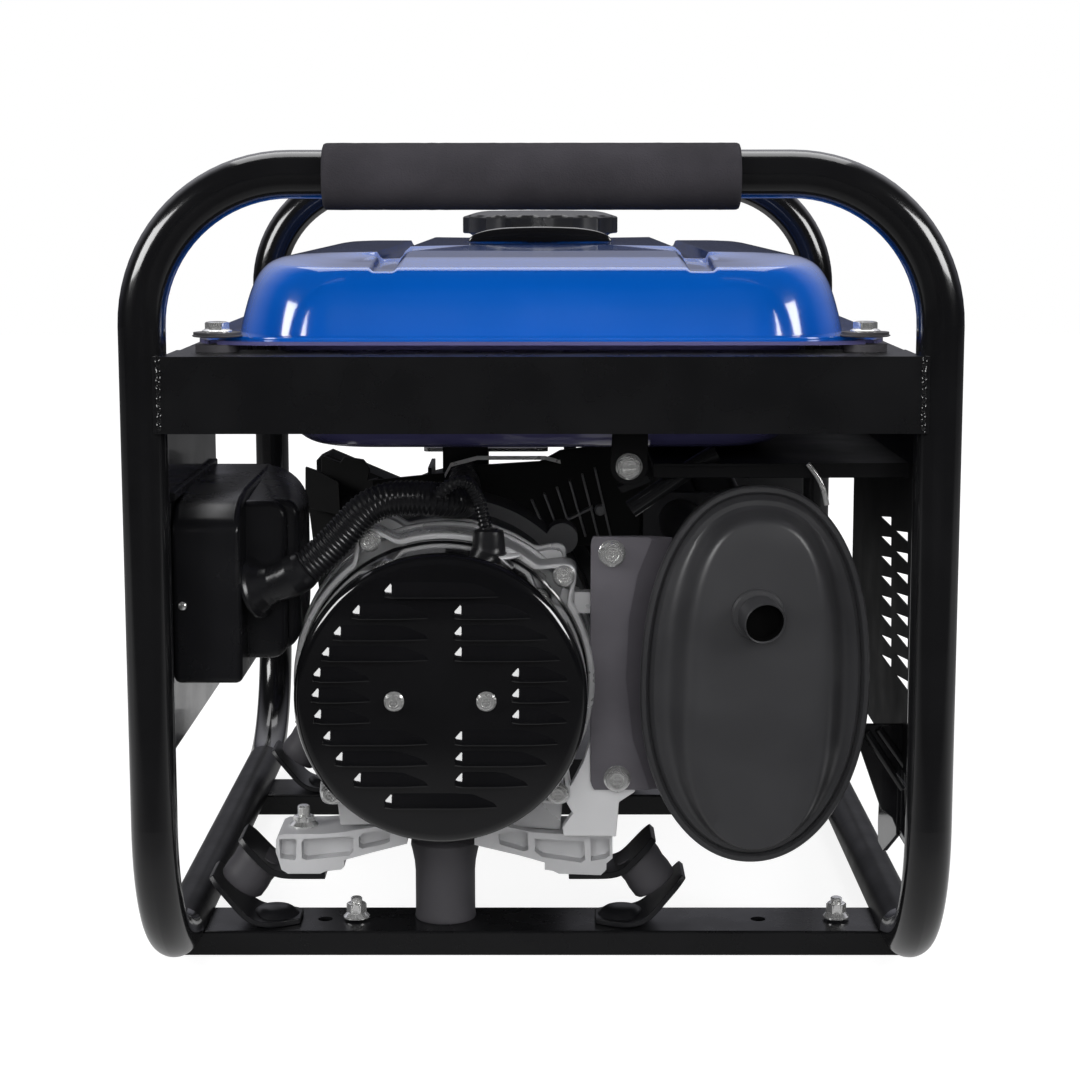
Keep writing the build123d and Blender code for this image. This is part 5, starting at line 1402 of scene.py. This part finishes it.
@dataclass
class EngineMounts:
    """Curved mount plates, their rubbers and the middle bumper."""

    stations: Pair = (-178.5, 138.0)
    upper_plate: Pairs = ((72, 49.2), (96, 49.2), (103, 50.5), (121, 70))
    lower_plate: Pairs = ((88, 18.6), (111, 18.6), (118, 21.5), (139, 47))
    rubber_top: Pair = (109.9, 57.4)
    rubber_foot: Pair = (124.2, 37.0)
    half: float = 19.0

    def plate(self, shape: Shape, points: Sequence[Pair], side: int, y: float, thick: float,
              foot: float = 0.0) -> None:
        """Adds one bent plate.

        Args:
            shape: Where it goes.
            points: Its top line as distance from the shaft and height.
            side: Which side of the shaft it is on.
            y: The middle of its width.
            thick: Its thickness.
            foot: How much each side of its inner end is taken in.
        """
        known = np.array(points, float)
        reach = run_lengths(known)
        at = np.linspace(0, reach[-1], 40)
        line = np.stack([np.interp(at, reach, known[:, k]) for k in range(2)], 1)
        for _ in range(14):
            line[1:-1] = (line[:-2] + 2 * line[1:-1] + line[2:]) / 4
        run = np.gradient(line, axis=0)
        run /= np.linalg.norm(run, axis=1)[:, None]
        under = line + np.stack([run[:, 1], -run[:, 0]], 1) * thick
        rows = []
        for k in range(len(line)):
            width = self.half - 4.0 * (max(0, k - 33) / 6) ** 2 - foot * (max(0, 12 - k) / 12) ** 1.6
            corners = ((line[k], -width), (line[k], width), (under[k], width), (under[k], -width))
            rows.append([(AX + side * spot[0], y + across, spot[1]) for spot, across in corners])
        shape.grid(np.array(rows))

    def build(self) -> None:
        """Makes the four mounts and the bumper."""
        plates, rubbers, discs = Shape(), Shape(), Shape()
        for y in self.stations:
            for side in (-1, 1):
                self.plate(plates, self.upper_plate, side, y, 4.0)
                self.plate(plates, self.lower_plate, side, y, 3.4, foot=9.0)
                low, high = np.array(self.rubber_top), np.array(self.rubber_foot)
                along = np.array([side * (high - low)[0], 0.0, (high - low)[1]])
                length = float(np.linalg.norm(high - low))
                waist = [(0.1, 0), (13, 0), (14, 1.5), (14.2, length * 0.3), (13.7, length * 0.5),
                         (14.2, length * 0.7), (14, length - 1.5), (13, length), (0.1, length)]
                rubbers.turned(waist, (AX + side * low[0], y, float(low[1])), along, 48)
                raised = [(0.1, 18.0), (15, 18.0), (13.5, 19.5), (12, 21.2), (10, 22.5), (7, 23.2), (4, 23.6),
                          (0.1, 23.7)]
                discs.turned(raised, (AX + side * 104, y, 0), Axis.UP, 40)
        Dress(SHEET_BLACK, sharp=35, bevel=0.6, replaces=("mount_brackets",)).make("mount_plates", plates)
        Dress(RUBBER, sharp=50, replaces=("mount_rubbers",)).make("mount_rubber_blocks", rubbers)
        Dress(SHEET_BLACK, sharp=80).make("mount_discs", discs)
        bumper = Shape()
        post = [(0.1, 15.1), (18.0, 15.1), (18.4, 16.2), (18, 18), (17.9, 24), (17.9, 44), (18.4, 50),
                (19.6, 56), (20.6, 60), (20.4, 62.4), (19, 63.3), (0.1, 63.4)]
        bumper.turned(post, (AX - 2, -172, 0), Axis.UP, 72)
        Dress(RUBBER, sharp=50, replaces=("centre_bumper",)).make("bumper_post", bumper)


@dataclass
class Controls:
    """Moulded back box of the control panel, and the shrouds behind it."""

    panel_x: float = -208.0
    step_left: float = -174.0
    step_back: float = -76.0

    def step(self, name: str, right: float, front: float, low: float, corner: float) -> None:
        """Makes one inner step of the box, whose top shoulder grows rounder towards the back.

        Args:
            name: The piece's name.
            right: Its right side.
            front: Its front face.
            low: Its underside.
            corner: Radius of its lower right corner.
        """
        rows = []
        stations = [(0.0, 3.5), (0.5, 2.0), (1.6, 0.8), (3.5, 0.0)]
        stations += [(run, 0.0) for run in np.linspace(8, self.step_back - front, 14)]
        for run, inset in stations:
            share = run / (self.step_back - front)
            top, shoulder = 272.0 + 5.8 * share - inset, min(8.0 + 22.0 * share, right - self.step_left - 8.0)
            edge, base = right - 7.0 * share * share - inset, low + inset
            line = [(self.step_left, base)]
            for turn in np.linspace(-math.pi / 2, 0, 9):
                line.append((edge - corner + corner * math.cos(turn), base + corner + corner * math.sin(turn)))
            for turn in np.linspace(0, math.pi / 2, 13):
                line.append((edge - shoulder + shoulder * math.cos(turn),
                             top - shoulder + shoulder * math.sin(turn)))
            line.append((self.step_left, top))
            rows.append([(x, front + run, z) for x, z in line])
        shape = Shape()
        shape.grid(np.array(rows))
        Dress(BOX_BLACK, sharp=50).make(name, shape)

    def build(self) -> None:
        """Makes the stepped box with its soft edges, and the shrouds behind it."""
        outer = [(-240, 172), (-240, 258), (-239.3, 261), (-237.5, 264), (-234, 267), (-226, 272.4),
                 (-215, 275), (-190, 277.6), (-66, 278), (-66, 186), (-82, 171)]
        shape = Shape()
        shape.prism(outer, Axis.RIGHT, self.panel_x + 0.1, -169.0)
        soft = Dress(BOX_BLACK, sharp=40, bevel=4.0, bevel_steps=5, replaces=("panel_box",))
        soft.make("box_front_block", shape)
        self.step("box_second_block", -146.0, -212.0, 181.0, 10.0)
        self.step("box_third_block", -139.5, -205.0, 184.0, 14.0)
        edge = Shape()
        edge.block((self.panel_x, -238, 276), (self.panel_x + 3, -66, 281))
        Dress(BOX_BLACK, sharp=30, bevel=0.8).make("box_flange", edge)
        screw = Shape()
        head = [(0.1, 0), (2.4, 0), (2.4, 1.4), (1.6, 2.3), (0.1, 2.6)]
        screw.turned(head, (-201.8, -240, 217), Axis.FRONT, 24)
        Dress(ZINC, sharp=40).make("box_screw", screw)
        shroud = Shape()
        duct = [(-150.8, 269.7), (-138.1, 264.9), (-135.1, 268.7), (-122.1, 266.7), (-117.4, 260.7),
                (-119.3, 252.4), (-112.2, 254.2), (-115.9, 243.4), (-138.6, 227.9), (-151.3, 233.9)]
        shroud.prism(duct, Axis.BACK, 50, 56)
        flap = [(-160.3, 263.4), (-149.1, 259.5), (-137.7, 253.1), (-136.8, 230.6), (-154.3, 234.2),
                (-160.8, 236.5)]
        shroud.prism(flap, Axis.BACK, 36, 42)
        shroud.prism([(-160, 242), (-126, 242), (-126, 150), (-150, 150)], Axis.BACK, 44, 48)
        Dress(SHADE_BLACK, sharp=30, bevel=0.5).make("blower_shrouds", shroud)


@dataclass
class Wiring:
    """Corrugated looms, and the elbow and cone that hold their ends."""

    main_route: tuple[Point, ...] = (
        (-163, -221, 223.5), (-155, -224, 226), (-145, -226, 229.5), (-132.5, -227, 236.5), (-114, -227, 254),
        (-101, -226, 269), (-89, -225, 275.5), (-74, -222, 276), (-60, -219, 274.5), (-50, -208, 272),
        (-46, -185, 269), (-46, -150, 265), (-47, -100, 262), (-51, -22, 262), (-51, 10, 262))
    branch_route: tuple[Point, ...] = (
        (-58, -234, 279), (-51, -236, 286), (-44, -235, 287), (-39.5, -233, 284), (-35, -228, 275.7),
        (-32.8, -224, 264.4), (-31, -222, 256))

    elbow: Pairs = ((0, 17.5), (1.5, 17.5), (3, 15), (8, 11.8), (12, 10.6), (18, 10.9), (24, 11.8), (30, 11.5),
                    (34, 10.4))

    def loom(self, name: str, node: str, route: Sequence[Point], radius: float, pitch: float,
             depth: float) -> np.ndarray:
        """Makes one corrugated sleeve along a route.

        Args:
            name: The piece's name.
            node: The CAD node that it stands for.
            route: Its control points.
            radius: Its crest radius.
            pitch: Distance between crests.
            depth: Depth of its grooves.

        Returns:
            The sleeve's centreline.
        """
        path = smooth_path(route, pitch / 6)
        phase = np.arange(len(path)) * 2 * np.pi / 6
        swell = np.clip(np.cos(phase) * 1.4, -1, 1)
        shape = Shape()
        shape.tube(path, radius - depth * (0.5 - 0.5 * swell), 24)
        Dress(LOOM_BLACK, sharp=80, replaces=(node,)).make(name, shape)
        return path

    def build(self) -> None:
        """Makes both looms and the parts that hold their ends."""
        path = self.loom("loom_main", "main_loom", self.main_route, 10.2, 2.7, 0.8)
        self.loom("loom_branch", "branch_loom", self.branch_route, 3.9, 2.8, 0.9)
        reach = run_lengths(path)
        stations, radii = zip(*self.elbow)
        near = reach < stations[-1]
        elbow = Shape()
        elbow.tube(path[near], np.interp(reach[near], stations, radii), 40)
        Dress(LOOM_BLACK, sharp=60).make("loom_elbow", elbow)
        cone = Shape()
        profile = [(0.1, 0), (10.2, 0), (10.4, 0.8), (9.7, 1.6), (9.4, 5), (8.9, 11), (8.4, 13.6), (5.4, 14.8),
                   (0.1, 14.8)]
        cone.turned(profile, (-30, -222, 243.5), Axis.UP, 48)
        Dress(LOOM_BLACK, sharp=40).make("loom_cone", cone)


def main() -> None:
    """Builds the studio and every sub-assembly, in order."""
    logging.basicConfig(level=logging.INFO, format="%(message)s")
    dress_cad()
    for part in (Studio(), Wiring(), FrameCradle(), HandGrips(), FuelTank(), Alternator(), Exhaust(),
                 EngineMounts(), Controls()):
        part.build()
        LOG.info("%s done", type(part).__name__)


if __name__ == "__main__":
    main()
